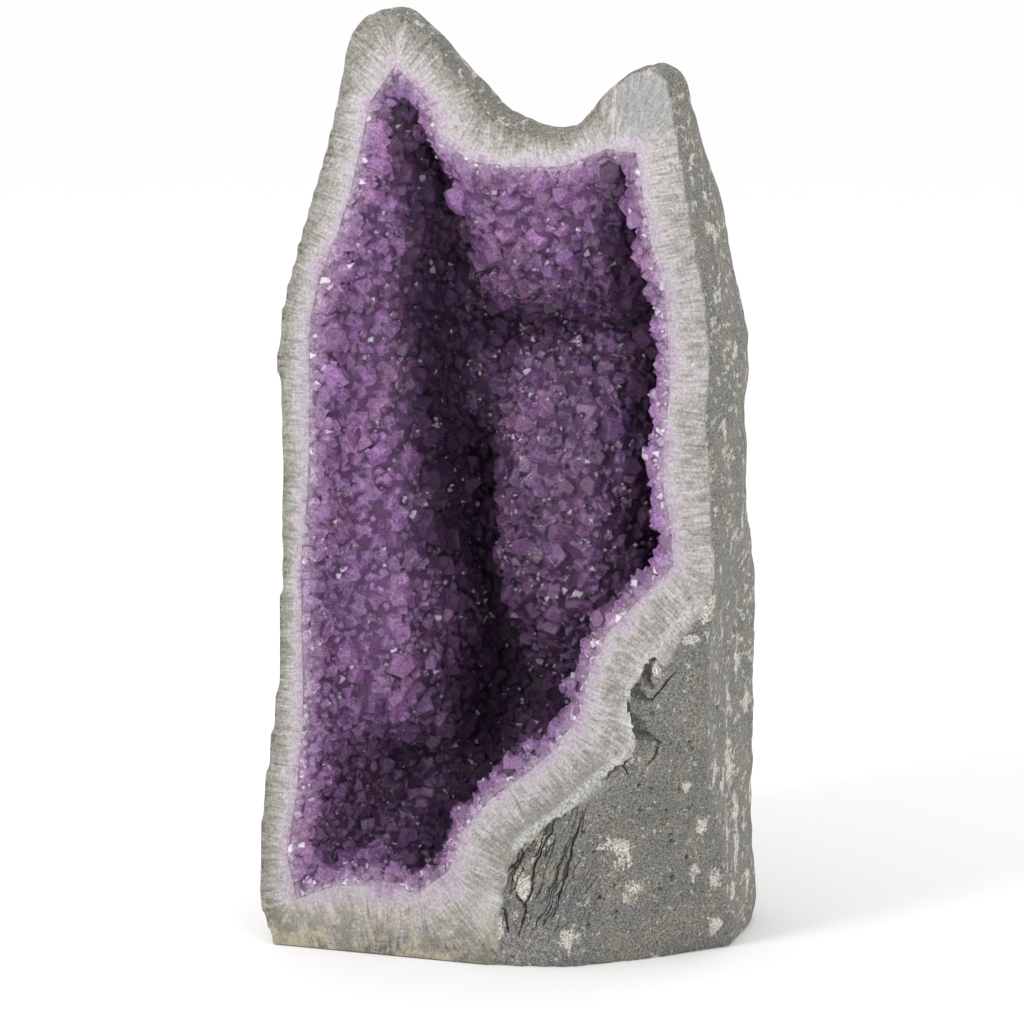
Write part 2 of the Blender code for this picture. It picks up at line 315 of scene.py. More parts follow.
# The rock with its hollow filled, as one closed skin of small faces
swollen = places(plug) + outward(plug) * PLUG_SWELL
swollen[:, 1] = np.maximum(swollen[:, 1], FRONT)
put(plug, swollen)
bpy.ops.object.select_all(action="DESELECT")
plug.select_set(True)
host_rock.select_set(True)
bpy.context.view_layer.objects.active = host_rock
bpy.ops.object.join()
apply_modifier(host_rock, "REMESH", mode="VOXEL", voxel_size=ROCK_GRID)

# Flat faces stay flat, and only the natural skin is softened and weathered
spots = places(host_rock)
facing = outward(host_rock)
on_front = (spots[:, 1] < FRONT + 0.6 * ROCK_GRID) & (facing[:, 1] < SQUARE_ON)
on_base = (spots[:, 2] < 0.6 * ROCK_GRID) & (facing[:, 2] < SQUARE_ON)
spots[on_front, 1] = FRONT
spots[on_base, 2] = 0.0
put(host_rock, spots)
for name, members, in_y, in_z in (
    ("natural", ~(on_front | on_base), True, True), ("front", on_front, False, True),
    ("base", on_base & ~on_front, True, False),
):
    group = host_rock.vertex_groups.new(name=name)
    group.add([int(number) for number in np.flatnonzero(members)], 1.0, "REPLACE")
    apply_modifier(
        host_rock, "SMOOTH", factor=0.5, iterations=7, use_y=in_y, use_z=in_z, vertex_group=name)

BREAK_TOP = 190 * MM


def broken_share(place, normal):
    """1 on the slanting break at the lower right, 0 on the old skin of the boulder."""
    lean = (-normal[1] - 0.25) / 0.35
    below = (BREAK_TOP + 20 * MM - place[2]) / (30 * MM)
    right = place[0] / (20 * MM)
    return max(0.0, min(1.0, lean, below, right))


def weathering(place):
    """How far the old skin of the boulder swells or sinks, in metres."""
    point = Vector(place)
    lumps = noise.fractal(point / (42 * MM), 1.0, 2.0, 2)
    knobs = noise.fractal(point / (12 * MM) + Vector((7, 3, 1)), 1.0, 2.0, 2)
    grain = noise.noise(point / (5 * MM) + Vector((2, 9, 4)))
    return (1.6 * lumps + 0.75 * knobs + 0.35 * grain) * MM


def hackle(place):
    """The low chips and steps of the broken face, in metres."""
    point = Vector(place)
    chips = noise.cell(Vector((point.x / (9 * MM), point.y / (9 * MM), point.z / (15 * MM))))
    swell = noise.fractal(point / (24 * MM) + Vector((3, 1, 8)), 1.0, 2.0, 2)
    grain = noise.noise(point / (4.5 * MM))
    return (0.25 * chips + 0.7 * swell + 0.22 * grain) * MM


spots = places(host_rock)
facing = outward(host_rock)
for number in np.flatnonzero(~(on_front | on_base)):
    share = broken_share(spots[number], facing[number])
    swell = weathering(spots[number]) * (1 - share) + hackle(spots[number]) * share
    inset = min(1.0, (spots[number, 1] - FRONT) / (4 * MM), spots[number, 2] / (3 * MM))
    spots[number] += facing[number] * swell * max(inset, 0.0)
put(host_rock, spots)

# Cracks run from the band down the break: half width and depth in mm, then (x, z) places in mm
CRACKS = [
    (0.7, 2.4, ((44, 83), (38, 77), (33, 71), (26, 64), (20, 55), (15, 49))),
    (0.6, 2.0, ((39, 77), (33, 65), (26, 53), (24, 41), (21, 29), (19, 22), (18, 15))),
    (0.6, 2.0, ((51, 80), (47, 69), (44, 58), (42, 50), (40, 44), (38, 35), (34, 25))),
    (0.5, 1.6, ((42, 62), (39, 55), (37, 48), (35, 42), (31, 34))),
    (0.5, 1.4, ((33, 70), (29, 61), (25, 55))),
    (0.7, 1.8, ((11, 29), (12, 23), (13, 16))),
    (0.6, 1.5, ((16, 37), (19, 32), (22, 27))),
    (0.6, 1.5, ((49, 91), (44, 86), (41, 80))),
    (0.6, 1.6, ((83, 136), (86, 140), (90, 144), (95, 151))),
    (0.6, 1.5, ((87, 115), (85, 110), (82, 105))),
    (0.5, 1.3, ((74, 108), (70, 104), (72, 99))),
]
# Hollows that chipped out under the band, in the same way
NOTCHES = [
    (2.3, 4.2, ((94, 168), (89, 162), (85, 157), (82, 153), (81, 147), (83, 143))),
    (1.8, 3.5, ((77, 144), (76, 140), (80, 136), (83, 137))),
    (2.6, 4.8, ((73, 134), (75, 129), (76, 124), (79, 119), (83, 117), (87, 115))),
    (1.7, 1.7, ((73, 107), (68, 104), (59, 96), (47, 86), (39, 77), (33, 70), (20, 55), (8, 42))),
]
# Gas pits that show most on the break, as (x, z) in mm
NAMED_PITS = [
    (84, 130), (101, 112), (100, 115), (54, 58), (87, 62), (87, 65), (76, 80), (87, 79),
    (82, 92), (77, 94), (50, 20), (62, 26), (81, 36), (16, 50), (86, 42), (55, 34),
]
# The rock beside the lowest part of the band is splintered: the corners of that place in mm,
# and how long, wide and deep the splinters are
SPLINTERED = ((8, 12), (58, 88))
SPLINTER_LONG = 22 * MM
SPLINTER_WIDE = 2.5 * MM
SPLINTER_DEEP = 1.3 * MM
# A crack's two lips stand a little proud and sunk, up to this far from it
LIP_REACH = 2.4 * MM
LIP_STEP = 0.35 * MM
PIT_COUNT = 150
PIT_SPACING = 7 * MM
PIT_DEPTH = 1.3
# The cracks reach no higher and no deeper behind the cut than this
CRACKS_TOP = 200 * MM
CRACKS_BACK = FRONT + 45 * MM


def gap_to_line(point, line):
    """Distance in the (x, z) plane to a line of points in mm, how far along, and which side."""
    best = (9.0, 0.0, 1)
    for piece, ((ax, az), (bx, bz)) in enumerate(zip(line, line[1:])):
        ax, az, bx, bz = ax * MM, az * MM, bx * MM, bz * MM
        run_x, run_z = bx - ax, bz - az
        share = ((point[0] - ax) * run_x + (point[2] - az) * run_z) / (run_x ** 2 + run_z ** 2)
        share = min(max(share, 0.0), 1.0)
        gap = math.hypot(point[0] - ax - share * run_x, point[2] - az - share * run_z)
        side = 1 if run_x * (point[2] - az) > run_z * (point[0] - ax) else -1
        best = min(best, (gap, (piece + share) / (len(line) - 1), side))
    return best


def splinter_share(point):
    """1 in the splintered place beside the band, and 0 away from it."""
    (left, low), (right, high) = SPLINTERED
    inset = min(point[0] - left * MM, right * MM - point[0], point[2] - low * MM, high * MM - point[2])
    return min(max(inset / (9 * MM), 0.0), 1.0) if point[1] < FRONT + 30 * MM else 0.0


rock_tree = BVHTree.FromObject(host_rock, bpy.context.evaluated_depsgraph_get())
chance = np.random.default_rng(11)
pits = []
for x, z in NAMED_PITS:
    start = Vector((x * MM, FRONT + 1 * MM, z * MM))
    spot, normal, _, _ = rock_tree.ray_cast(start, Vector((0, 1, 0)))
    if spot:
        pits.append((spot, normal, 1.2 * MM, 1.0))
low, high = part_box("basalt_matrix")
while len(pits) < PIT_COUNT:
    start = Vector([chance.uniform(least, most) for least, most in zip(low, high)])
    spot, normal, _, _ = rock_tree.find_nearest(start)
    crowded = any((spot - pit[0]).length < PIT_SPACING for pit in pits)
    if spot.y > FRONT + 6 * MM and spot.z > 6 * MM and not crowded:
        pits.append((spot, normal, chance.uniform(0.5, 1.0) ** 2 * 1.6 * MM, chance.uniform(1.0, 2.4)))
pit_tree = search_tree([pit[0] for pit in pits])


def beside(point, lines, margin):
    """Whether a place is this near to one of the cracks or notches."""
    return any(gap_to_line(point, line)[0] < half * MM + margin for half, _, line in lines)


def near_detail(point):
    """Whether a place of the skin needs small faces for a crack, a notch or a pit."""
    if pit_tree.find(point)[2] < 3.0 * MM:
        return True
    if not (0 <= point[0] and FRONT + 0.3 * MM <= point[1] <= CRACKS_BACK and point[2] <= CRACKS_TOP):
        return False
    return beside(point, CRACKS, 2.2 * MM) or beside(point, NOTCHES, 2 * MM)


def by_crack(point):
    """Whether a place lies right beside a crack, or among the splinters."""
    if not (0 < point[0] and FRONT + 0.3 * MM < point[1] < CRACKS_BACK and point[2] < CRACKS_TOP):
        return False
    return splinter_share(point) > 0.1 or beside(point, CRACKS, 0.9 * MM)


for needs_detail in (near_detail, near_detail, by_crack):
    fine = [face.index for face in host_rock.data.polygons
            if needs_detail(face.center) or splinter_share(face.center) > 0.05]
    edit_faces(host_rock, fine)
    bpy.ops.mesh.subdivide(number_cuts=1)
    bpy.ops.object.mode_set(mode="OBJECT")

spots = places(host_rock)
facing = outward(host_rock)
# Painted shade: pits, cracks, splinters and notches get a near-black colour by how far they gape
painted_gap_shade = np.zeros(len(spots))
for number, spot in enumerate(spots):
    if spot[1] < FRONT + 0.3 * MM:
        continue
    point = Vector(spot)
    sink = 0.0
    _, pit_number, gap = pit_tree.find(point)
    centre, normal, radius, stretch = pits[pit_number]
    if gap < 5 * MM:
        offset = point - centre
        gap = math.sqrt(offset.x ** 2 + offset.y ** 2 + (offset.z / stretch) ** 2)
        gap += 0.45 * radius * noise.noise(point / (1.3 * MM))
        if gap < radius:
            sink = PIT_DEPTH * radius * math.sqrt(1 - (gap / radius) ** 2)
            painted_gap_shade[number] = 0.8 * (1 - gap / radius)
    if spot[0] > 0 and spot[2] < CRACKS_TOP and spot[1] < CRACKS_BACK:
        wander = Vector((
            1.2 * MM * noise.noise(point / (7 * MM)) + 0.5 * MM * noise.noise(point / (1.8 * MM)),
            0.0,
            1.2 * MM * noise.noise(point / (5 * MM) + Vector((5, 5, 5))),
        ))
        moved = point + wander
        swell = 0.0
        splinters = splinter_share(point)
        if splinters:
            lengthwise = (0.36 * point.x + 0.93 * point.z) / SPLINTER_LONG
            sidewise = (0.93 * moved.x - 0.36 * moved.z) / SPLINTER_WIDE
            broad = noise.noise(Vector((sidewise / 3, lengthwise / 2, 8.2)))
            ledge = noise.cell(Vector((sidewise / 1.6 + broad, lengthwise / 1.5, 5.1)))
            valley = abs(noise.noise(Vector((sidewise, lengthwise, 3.7)))) / 0.13
            open_here = max(0.0, 1 - valley) * min(max(0.55 + 2.2 * broad, 0.0), 1.0)
            swell += splinters * (1.2 * broad + 0.5 * ledge - 0.3) * MM
            sink += splinters * open_here * SPLINTER_DEEP
            painted_gap_shade[number] = max(painted_gap_shade[number], 0.8 * splinters * open_here)
        for half, depth, line in CRACKS:
            gap, along, side = gap_to_line(moved, line)
            width = half * MM * (0.3 + math.sin(math.pi * min(max(along, 0.06), 0.94)))
            width *= 1 + 0.7 * noise.noise(point / (3 * MM))
            if gap < width:
                sink = max(sink, depth * MM * (1 - (gap / width) ** 1.5))
                painted_gap_shade[number] = max(painted_gap_shade[number], 1 - gap / width)
            elif gap < LIP_REACH:
                swell += side * LIP_STEP * (1 - gap / LIP_REACH)
        for half, depth, line in NOTCHES:
            gap, along, side = gap_to_line(moved, line)
            width = half * MM * (0.3 + 0.9 * math.sin(math.pi * min(max(along, 0.08), 0.92)))
            if gap < width:
                lean = 0.5 + 0.5 * side * gap / width
                cut_in = (1 - (gap / width) ** 2) * (0.6 + 0.8 * lean)
                sink = max(sink, depth * MM * cut_in)
                painted_gap_shade[number] = max(painted_gap_shade[number], 0.75 * cut_in - 0.45)
        sink -= swell
    if sink:
        spots[number] -= facing[number] * sink
put(host_rock, spots)
write_layer(host_rock, "painted_gap_shade", painted_gap_shade)

# The hollow is cut last, so that its edge on the cut stays sharp
apply_modifier(host_rock, "BOOLEAN", operation="DIFFERENCE", object=saw_plug, solver="EXACT")
bpy.data.objects.remove(saw_plug)

# The guides across the rim reach this far behind the cut, and count in steps of this size
GUIDES_BACK = FRONT + 40 * MM
GUIDE_UNIT = 10 * MM


def turn_of(line):
    """1 or -1, so that the normals of a closed line point out of it."""
    area = sum(a[0] * b[1] - b[0] * a[1] for a, b in zip(line, line[1:] + line[:1]))
    return -1 if area > 0 else 1


def out_of(line, number, reach, turn):
    """The way square out of a closed line at one of its points."""
    back = line[(number - reach) % len(line)]
    ahead = line[(number + reach) % len(line)]
    return Vector((back[1] - ahead[1], 0, ahead[0] - back[0])).normalized() * turn


EDGE_TURN = turn_of(crystal_edge)


def rim_guides(piece):
    """Gives each vertex of a piece its place across the rim and the way its fibres run.

    The place is 0 at the outer edge of the cut, 1 where the crystals begin and more inside.
    """
    spots = places(piece)
    outer = flat_tree(cut_edge)
    inner = flat_tree(crystal_edge)
    count = len(spots)
    across = np.zeros(count)
    run = np.zeros((count, 3))
    depth = np.zeros(count)
    broken = np.zeros(count)
    for number, (x, y, z) in enumerate(spots):
        depth[number] = (y - FRONT) / GUIDE_UNIT
        if y > GUIDES_BACK:
            continue
        near, place, inner_gap = inner.find((x, 0, z))
        edge_spot, _, outer_gap = outer.find((x, 0, z))
        broken[number] = min(
            1.0, max(edge_spot.x - 4 * MM, 0) / (8 * MM), max(edge_spot.z - 1 * MM, 0) / (5 * MM),
            max(BREAK_TOP + 6 * MM - edge_spot.z, 0) / (12 * MM))
        normal = out_of(crystal_edge, place, 3, EDGE_TURN)
        away = Vector((x, 0, z)) - near
        inside = away.dot(normal) < 0
        if inner_gap > 1.5 * MM:
            normal = away.normalized() * (-1 if inside else 1)
        run[number] = normal
        across[number] = 1 + inner_gap / GUIDE_UNIT if inside else outer_gap / (outer_gap + inner_gap)
    write_layer(piece, "across", across)
    write_layer(piece, "depth", depth)
    write_layer(piece, "broken", broken)
    write_layer(piece, "fibre_way", run, "FLOAT_VECTOR")


band_tree = flat_tree(band_edge)
cut_edge = [(x, z) for x, z in rock_edges if band_tree.find((x, 0, z))[2] > 1.2 * MM]
rim_guides(host_rock)

# Pale crusts: (x, depth behind the cut, z), then half width and half height, all in mm
PALE_CRUSTS = [
    (105, 70, 89, 8, 12), (105, 56, 84, 6, 8), (104, 72, 125, 4, 8), (104, 88, 140, 4, 9),
    (100, 36, 68, 4, 9), (107, 80, 46, 5, 12), (104, 114, 69, 4, 9), (106, 99, 55, 4, 5),
    (102, 57, 13, 4, 5), (95, 41, 43, 4, 5), (41, 9, 14, 5, 7), (69, 24, 37, 6, 6),
    (64, 14, 61, 8, 5), (66, 18, 52, 5, 5), (96, 22, 91, 4, 4), (74, 3, 108, 4, 3),
    (111, 2, 183, 7, 8), (7, 2, 18, 5, 8), (29, 3, 64, 6, 4), (102, 3, 167, 4, 3),
    (104, 100, 117, 4, 8), (108, 98, 25, 5, 10), (114, 53, 216, 4, 9), (115, 34, 301, 3, 7),
    (110, 12, 327, 3, 5), (114, 21, 265, 4, 6), (20, 3, 40, 5, 9), (86, 3, 152, 3, 6),
    (108, 66, 100, 7, 13), (106, 40, 95, 4, 8), (104, 84, 66, 5, 11), (102, 50, 40, 5, 8),
    (108, 100, 88, 4, 8), (105, 62, 60, 4, 6),
]
spots = places(host_rock)
facing = outward(host_rock)
fresh = np.array([broken_share(spot, normal) for spot, normal in zip(spots, facing)])
crusted = np.zeros(len(spots))
for x, behind_cut, z, half_width, half_height in PALE_CRUSTS:
    offset = spots - np.array((x * MM, FRONT + behind_cut * MM, z * MM))
    size = np.array((half_width, half_width, half_height)) * MM
    crusted = np.maximum(crusted, 1.25 - 0.7 * np.linalg.norm(offset / size, axis=1))
write_layer(host_rock, "fresh", fresh)
write_layer(host_rock, "crusted", crusted)


def node(tree, kind, **values):
    """Adds a shader node, and sets its settings or, by the input's name, its sockets."""
    made = tree.nodes.new(kind)
    for name, value in values.items():
        if hasattr(made, name):
            setattr(made, name, value)
        else:
            made.inputs[name.replace("_", " ")].default_value = value
    return made


def calc(tree, operation, first, second=0.5, third=0.5):
    """A Math node on sockets or numbers, as its output socket."""
    made = tree.nodes.new("ShaderNodeMath")
    made.operation = operation
    for number, value in enumerate((first, second, third)):
        if isinstance(value, (int, float)):
            made.inputs[number].default_value = value
        else:
            tree.links.new(value, made.inputs[number])
    return made.outputs[0]


def blend(tree, share, first, second, kind="MIX"):
    """A colour between two colours, each a socket or a tuple, by a share."""
    made = tree.nodes.new("ShaderNodeMix")
    made.data_type = "RGBA"
    made.blend_type = kind
    for place, value in ((0, share), (6, first), (7, second)):
        if isinstance(value, tuple):
            made.inputs[place].default_value = (*value, 1)
        elif isinstance(value, (int, float)):
            made.inputs[place].default_value = value
        else:
            tree.links.new(value, made.inputs[place])
    return made.outputs[2]


def times(tree, *values):
    """The product of sockets or numbers."""
    total = values[0]
    for value in values[1:]:
        total = calc(tree, "MULTIPLY", total, value)
    return total


def scaled(tree, value, factor, offset):
    """A value times a factor, plus an offset."""
    return calc(tree, "MULTIPLY_ADD", value, factor, offset)


def swayed(tree, value, grain, reach):
    """A value that a grain of noise moves up and down."""
    return scaled(tree, calc(tree, "SUBTRACT", grain, 0.5), reach, value)


def painted(tree, ground, colour, *shares):
    """A ground colour covered with another colour, by the product of some shares."""
    return blend(tree, times(tree, *shares), ground, colour)


def speckle(tree, size, detail=2.0, seed=(0, 0, 0), drawn=(1, 1, 1), roughness=0.5, swirl=0.0):
    """Noise of about this grain size in metres on the piece's own coordinates, or drawn out."""
    coords = tree.nodes.new("ShaderNodeTexCoord")
    mapping = node(tree, "ShaderNodeMapping", vector_type="TEXTURE")
    mapping.inputs["Location"].default_value = seed
    mapping.inputs["Scale"].default_value = drawn
    tree.links.new(coords.outputs["Object"], mapping.inputs["Vector"])
    grain = node(tree, "ShaderNodeTexNoise", Scale=1 / size, Detail=detail, Roughness=roughness)
    grain.inputs["Distortion"].default_value = swirl
    tree.links.new(mapping.outputs["Vector"], grain.inputs["Vector"])
    return grain.outputs["Fac"]


def steps(tree, value, stops, smooth="LINEAR"):
    """A colour that changes with a value, from (position, colour) stops."""
    ramp = tree.nodes.new("ShaderNodeValToRGB")
    ramp.color_ramp.interpolation = smooth
    points = ramp.color_ramp.elements
    while len(points) < len(stops):
        points.new(0.5)
    for point, (position, colour) in zip(points, stops):
        point.position = position
        point.color = (*colour, 1)
    tree.links.new(value, ramp.inputs["Fac"])
    return ramp.outputs["Color"]


def window(tree, value, low, high):
    """0 below one value and 1 above another, with a soft rise between them."""
    made = node(tree, "ShaderNodeMapRange", interpolation_type="SMOOTHSTEP")
    made.inputs["From Min"].default_value = low
    made.inputs["From Max"].default_value = high
    tree.links.new(value, made.inputs["Value"])
    return made.outputs["Result"]


def embossed(tree, shader, height, strength, reach, normal=None):
    """Gives a shader the relief of a height, on top of a normal where there is one."""
    bump = node(tree, "ShaderNodeBump", Strength=strength, Distance=reach)
    tree.links.new(height, bump.inputs["Height"])
    if normal is not None:
        tree.links.new(normal, bump.inputs["Normal"])
    tree.links.new(bump.outputs["Normal"], shader.inputs["Normal"])


def attribute(tree, name, output="Fac"):
    """A value that the mesh carries at its vertices."""
    made = node(tree, "ShaderNodeAttribute", attribute_name=name)
    return made.outputs[output]


def combed(tree, grain, taps, spacing):
    """Noise drawn out along the fibres, by averaging it along their way."""
    coords = tree.nodes.new("ShaderNodeTexCoord")
    way = attribute(tree, "fibre_way", "Vector")
    total = None
    for tap in range(taps):
        shift = node(tree, "ShaderNodeVectorMath", operation="SCALE")
        tree.links.new(way, shift.inputs[0])
        shift.inputs["Scale"].default_value = (tap - (taps - 1) / 2) * spacing
        moved = node(tree, "ShaderNodeVectorMath", operation="ADD")
        tree.links.new(coords.outputs["Object"], moved.inputs[0])
        tree.links.new(shift.outputs[0], moved.inputs[1])
        fleck = node(tree, "ShaderNodeTexNoise", Scale=1 / grain, Detail=1.0)
        tree.links.new(moved.outputs[0], fleck.inputs["Vector"])
        total = fleck.outputs["Fac"] if total is None else calc(tree, "ADD", total, fleck.outputs["Fac"])
    mean = calc(tree, "DIVIDE", total, float(taps))
    return scaled(tree, calc(tree, "SUBTRACT", mean, 0.5), 5.0, 0.5)


def shaded(tree, colour, shade):
    """A colour made darker or lighter by a value."""
    tint = node(tree, "ShaderNodeCombineColor")
    for socket in ("Red", "Green", "Blue"):
        tree.links.new(shade, tint.inputs[socket])
    return blend(tree, 1.0, colour, tint.outputs["Color"], "MULTIPLY")


# Rim colours by the place across the cut, from the outer edge to the crystals
# This first colour is painted shade: a dark line along the outer edge of the cut
PAINTED_EDGE_SHADE = (0.13, 0.12, 0.105)
RIM_OLIVE = (0.235, 0.22, 0.185)
RIM_GREY = (0.255, 0.242, 0.215)
RIM_PALE = (0.312, 0.298, 0.278)
RIM_WHITE = (0.405, 0.372, 0.38)
RIM_LILAC = (0.42, 0.365, 0.41)
CRUST_LILAC = (0.34, 0.25, 0.345)
CRUST_VIOLET = (0.25, 0.145, 0.265)
BREAK_GREY = (0.235, 0.230, 0.210)
EAR_GREY = (0.288, 0.288, 0.285)
STAIN = (0.41, 0.355, 0.25)
MURKY_OLIVE = (0.20, 0.185, 0.145)
RIM_DARK = (0.13, 0.125, 0.10)
LIP_WHITE = (0.48, 0.475, 0.455)
# On the right the pale colours reach this much further out
PALE_TO_EDGE = 0.44
RIM_ROUGHNESS = 0.55
STONE_GLOSS = 0.35
# The inner half of the rim is the same where the rock broke and where it didn't
INNER_RIM = [(0.36, RIM_WHITE), (0.45, RIM_LILAC), (0.53, CRUST_LILAC), (0.66, CRUST_VIOLET)]
OLD_RIM = [(0.0, PAINTED_EDGE_SHADE), (0.02, RIM_OLIVE), (0.12, RIM_GREY), (0.24, RIM_PALE)] + INNER_RIM
BROKEN_RIM = [(0.0, BREAK_GREY), (0.06, BREAK_GREY), (0.15, RIM_GREY), (0.25, RIM_PALE)] + INNER_RIM
# Places of the cut that are scraped to one tone: centre, reach, share and colour
SCRAPED_PLACES = (
    ((0.080, FRONT, 0.416), 19 * MM, 0.8, EAR_GREY),
    ((0.006, FRONT, 0.027), 12 * MM, 0.6, LIP_WHITE),
    ((0.076, FRONT, 0.129), 9 * MM, 0.6, LIP_WHITE),
)


def cut_stone(tree):
    """Colour and relief of the ground cut, from the grey rim through white quartz to violet."""
    fibres = combed(tree, 0.95 * MM, 5, 1.0 * MM)
    long_fibres = combed(tree, 1.9 * MM, 5, 2.2 * MM)
    blotches = speckle(tree, 13 * MM, 3.0, (0.3, 0, 0.1))
    fuzz = speckle(tree, 3.4 * MM, 3.0, (0.6, 0, 0.3), swirl=1.0)
    grit = speckle(tree, 1.25 * MM, 3.0, (0.1, 0.2, 0), roughness=0.65)
    across = attribute(tree, "across")
    coords = tree.nodes.new("ShaderNodeTexCoord")
    split = tree.nodes.new("ShaderNodeSeparateXYZ")
    tree.links.new(coords.outputs["Object"], split.inputs[0])
    rightmost = times(tree, window(tree, split.outputs["X"], 52 * MM, 70 * MM), PALE_TO_EDGE)
    lifted = times(tree, rightmost, window(tree, across, 0.60, 0.0))
    place = swayed(tree, calc(tree, "ADD", across, lifted), long_fibres, 0.36)
    place = swayed(tree, place, fibres, 0.20)
    place = swayed(tree, place, blotches, 0.70)
    place = times(tree, swayed(tree, place, fuzz, 0.60), 0.5)
    broken = attribute(tree, "broken")
    colour = blend(tree, broken, steps(tree, place, OLD_RIM), steps(tree, place, BROKEN_RIM))
    white_lip = times(tree, window(tree, swayed(tree, across, fuzz, 0.10), 0.16, 0.05), broken)
    chipped = scaled(tree, window(tree, grit, 0.36, 0.58), 0.55, 0.30)
    colour = painted(tree, colour, LIP_WHITE, white_lip, chipped)
    near_edge = window(tree, place, 0.26, 0.06)
    moss = window(tree, speckle(tree, 2.2 * MM, 5.0, (0.2, 0.4, 0.8), roughness=0.7), 0.50, 0.60)
    colour = painted(tree, colour, RIM_DARK, moss, near_edge, 0.6)
    for centre, reach, share, tint in SCRAPED_PLACES:
        away = node(tree, "ShaderNodeVectorMath", operation="DISTANCE")
        away.inputs[1].default_value = centre
        tree.links.new(coords.outputs["Object"], away.inputs[0])
        ragged = swayed(tree, away.outputs["Value"], fuzz, 12 * MM)
        colour = painted(tree, colour, tint, window(tree, ragged, reach, 0.5 * reach), share)
    low_down = window(tree, split.outputs["Z"], 34 * MM, 8 * MM)
    rust = window(tree, speckle(tree, 9 * MM, 4.0, (0.7, 0, 0.2)), 0.46, 0.62)
    colour = painted(tree, colour, STAIN, rust, low_down, 0.7)
    murky = window(tree, speckle(tree, 11 * MM, 4.0, (0.1, 0.3, 0.9)), 0.50, 0.60)
    colour = painted(tree, colour, MURKY_OLIVE, murky, low_down, 0.75)
    by_saddle = window(tree, split.outputs["Z"], 340 * MM, 385 * MM)
    high_up = times(tree, by_saddle, window(tree, place, 0.10, 0.22))
    shade = times(
        tree, scaled(tree, fibres, 0.26, 0.87), scaled(tree, grit, 1.1, 0.45),
        scaled(tree, fuzz, 0.5, 0.75), scaled(tree, high_up, 0.09, 0.98))
    relief = calc(tree, "ADD", times(tree, fibres, 0.4), times(tree, grit, 1.2))
    return shaded(tree, colour, shade), relief


BASALT_GREY = (0.160, 0.160, 0.151)
BASALT_WARM = (0.200, 0.184, 0.155)
BASALT_BLUE = (0.160, 0.166, 0.164)
DARK_SPECK_AND_GAP_SHADE = (0.05, 0.046, 0.040)
CRUST_PALE = (0.55, 0.53, 0.48)
CRUST_PINK = (0.50, 0.44, 0.385)


def basalt():
    """Grey basalt with fine grain, pale crusts and brown tints, ground smooth at the front."""
    finish, tree, shader = new_finish("basalt")
    sand = speckle(tree, 1.0 * MM, 3.0, (0.4, 0.1, 0), roughness=0.7)
    specks = speckle(tree, 1.8 * MM, 2.0, (0.2, 0.5, 0))
    cloud = speckle(tree, 34 * MM, 3.0, (0.9, 0.1, 0.4))
    warmth = speckle(tree, 22 * MM, 3.0, (0.1, 0.8, 0.3))
    body = blend(tree, window(tree, warmth, 0.40, 0.62), BASALT_GREY, BASALT_WARM)
    body = painted(tree, body, BASALT_BLUE, window(tree, cloud, 0.52, 0.70), 0.6)
    old_skin = calc(tree, "SUBTRACT", 1.0, attribute(tree, "fresh"))
    patch = speckle(tree, 7 * MM, 5.0, (0.55, 0.2, 0.6), (1, 2.4, 1.5), 0.62)
    scuff = speckle(tree, 2.6 * MM, 5.0, (0.15, 0.9, 0.2), (1, 1.8, 1.7), 0.7)
    ragged = swayed(tree, attribute(tree, "crusted"), patch, 1.6)
    ragged = swayed(tree, ragged, scuff, 2.6)
    scattered = scaled(tree, old_skin, 0.05, patch)
    patches = calc(tree, "MAXIMUM", window(tree, ragged, 0.56, 0.80), window(tree, scattered, 0.635, 0.71))
    body = painted(tree, body, blend(tree, cloud, CRUST_PALE, CRUST_PINK), patches, 0.9)
    fleck = speckle(tree, 2.4 * MM, 4.0, (0.3, 0.3, 0.7), (1, 2.6, 1.6), 0.6)
    flecks = window(tree, scaled(tree, old_skin, 0.045, fleck), 0.60, 0.68)
    body = painted(tree, body, CRUST_PALE, flecks, 0.6)
    # Dark specks are the rock's own grain; the near black in pits, cracks, splinters and notches is
    # painted shade
    body = painted(tree, body, DARK_SPECK_AND_GAP_SHADE, window(tree, specks, 0.335, 0.27), 0.7)
    body = painted(tree, body, DARK_SPECK_AND_GAP_SHADE, window(tree, attribute(tree, "painted_gap_shade"), 0.1, 0.6), 0.85)
    shade = calc(tree, "MAXIMUM", scaled(tree, sand, 4.4, -1.2), 0.15)
    body = shaded(tree, body, times(tree, shade, scaled(tree, old_skin, 0.12, 1.0)))
    face, face_relief = cut_stone(tree)
    on_face = window(tree, attribute(tree, "depth"), 0.16, 0.01)
    tree.links.new(blend(tree, on_face, body, face), shader.inputs["Base Color"])
    height = calc(tree, "ADD", times(tree, sand, 1.3), times(tree, specks, 0.9))
    height = calc(tree, "ADD", height, times(tree, patches, 0.5))
    embossed(tree, shader, blend(tree, on_face, height, face_relief), 0.8, 0.6 * MM)
    rough = scaled(tree, specks, 0.2, 0.68)
    change = calc(tree, "SUBTRACT", RIM_ROUGHNESS, rough)
    tree.links.new(scaled(tree, on_face, change, rough), shader.inputs["Roughness"])
    shader.inputs["Specular IOR Level"].default_value = STONE_GLOSS
    return finish


host_rock.data.materials.clear()
host_rock.data.materials.append(basalt())
only(host_rock)
bpy.ops.object.shade_smooth_by_angle(angle=math.radians(42))
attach(host_rock, "root")
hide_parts("basalt_matrix")


# Quartz band
# Quartz grew from the rock inwards as a layer of upright fibres, white and a little cloudy.
# The cut goes square through it, so it shows as a pale ring with fibres across it.

RIM_PROUD = 0.06 * MM

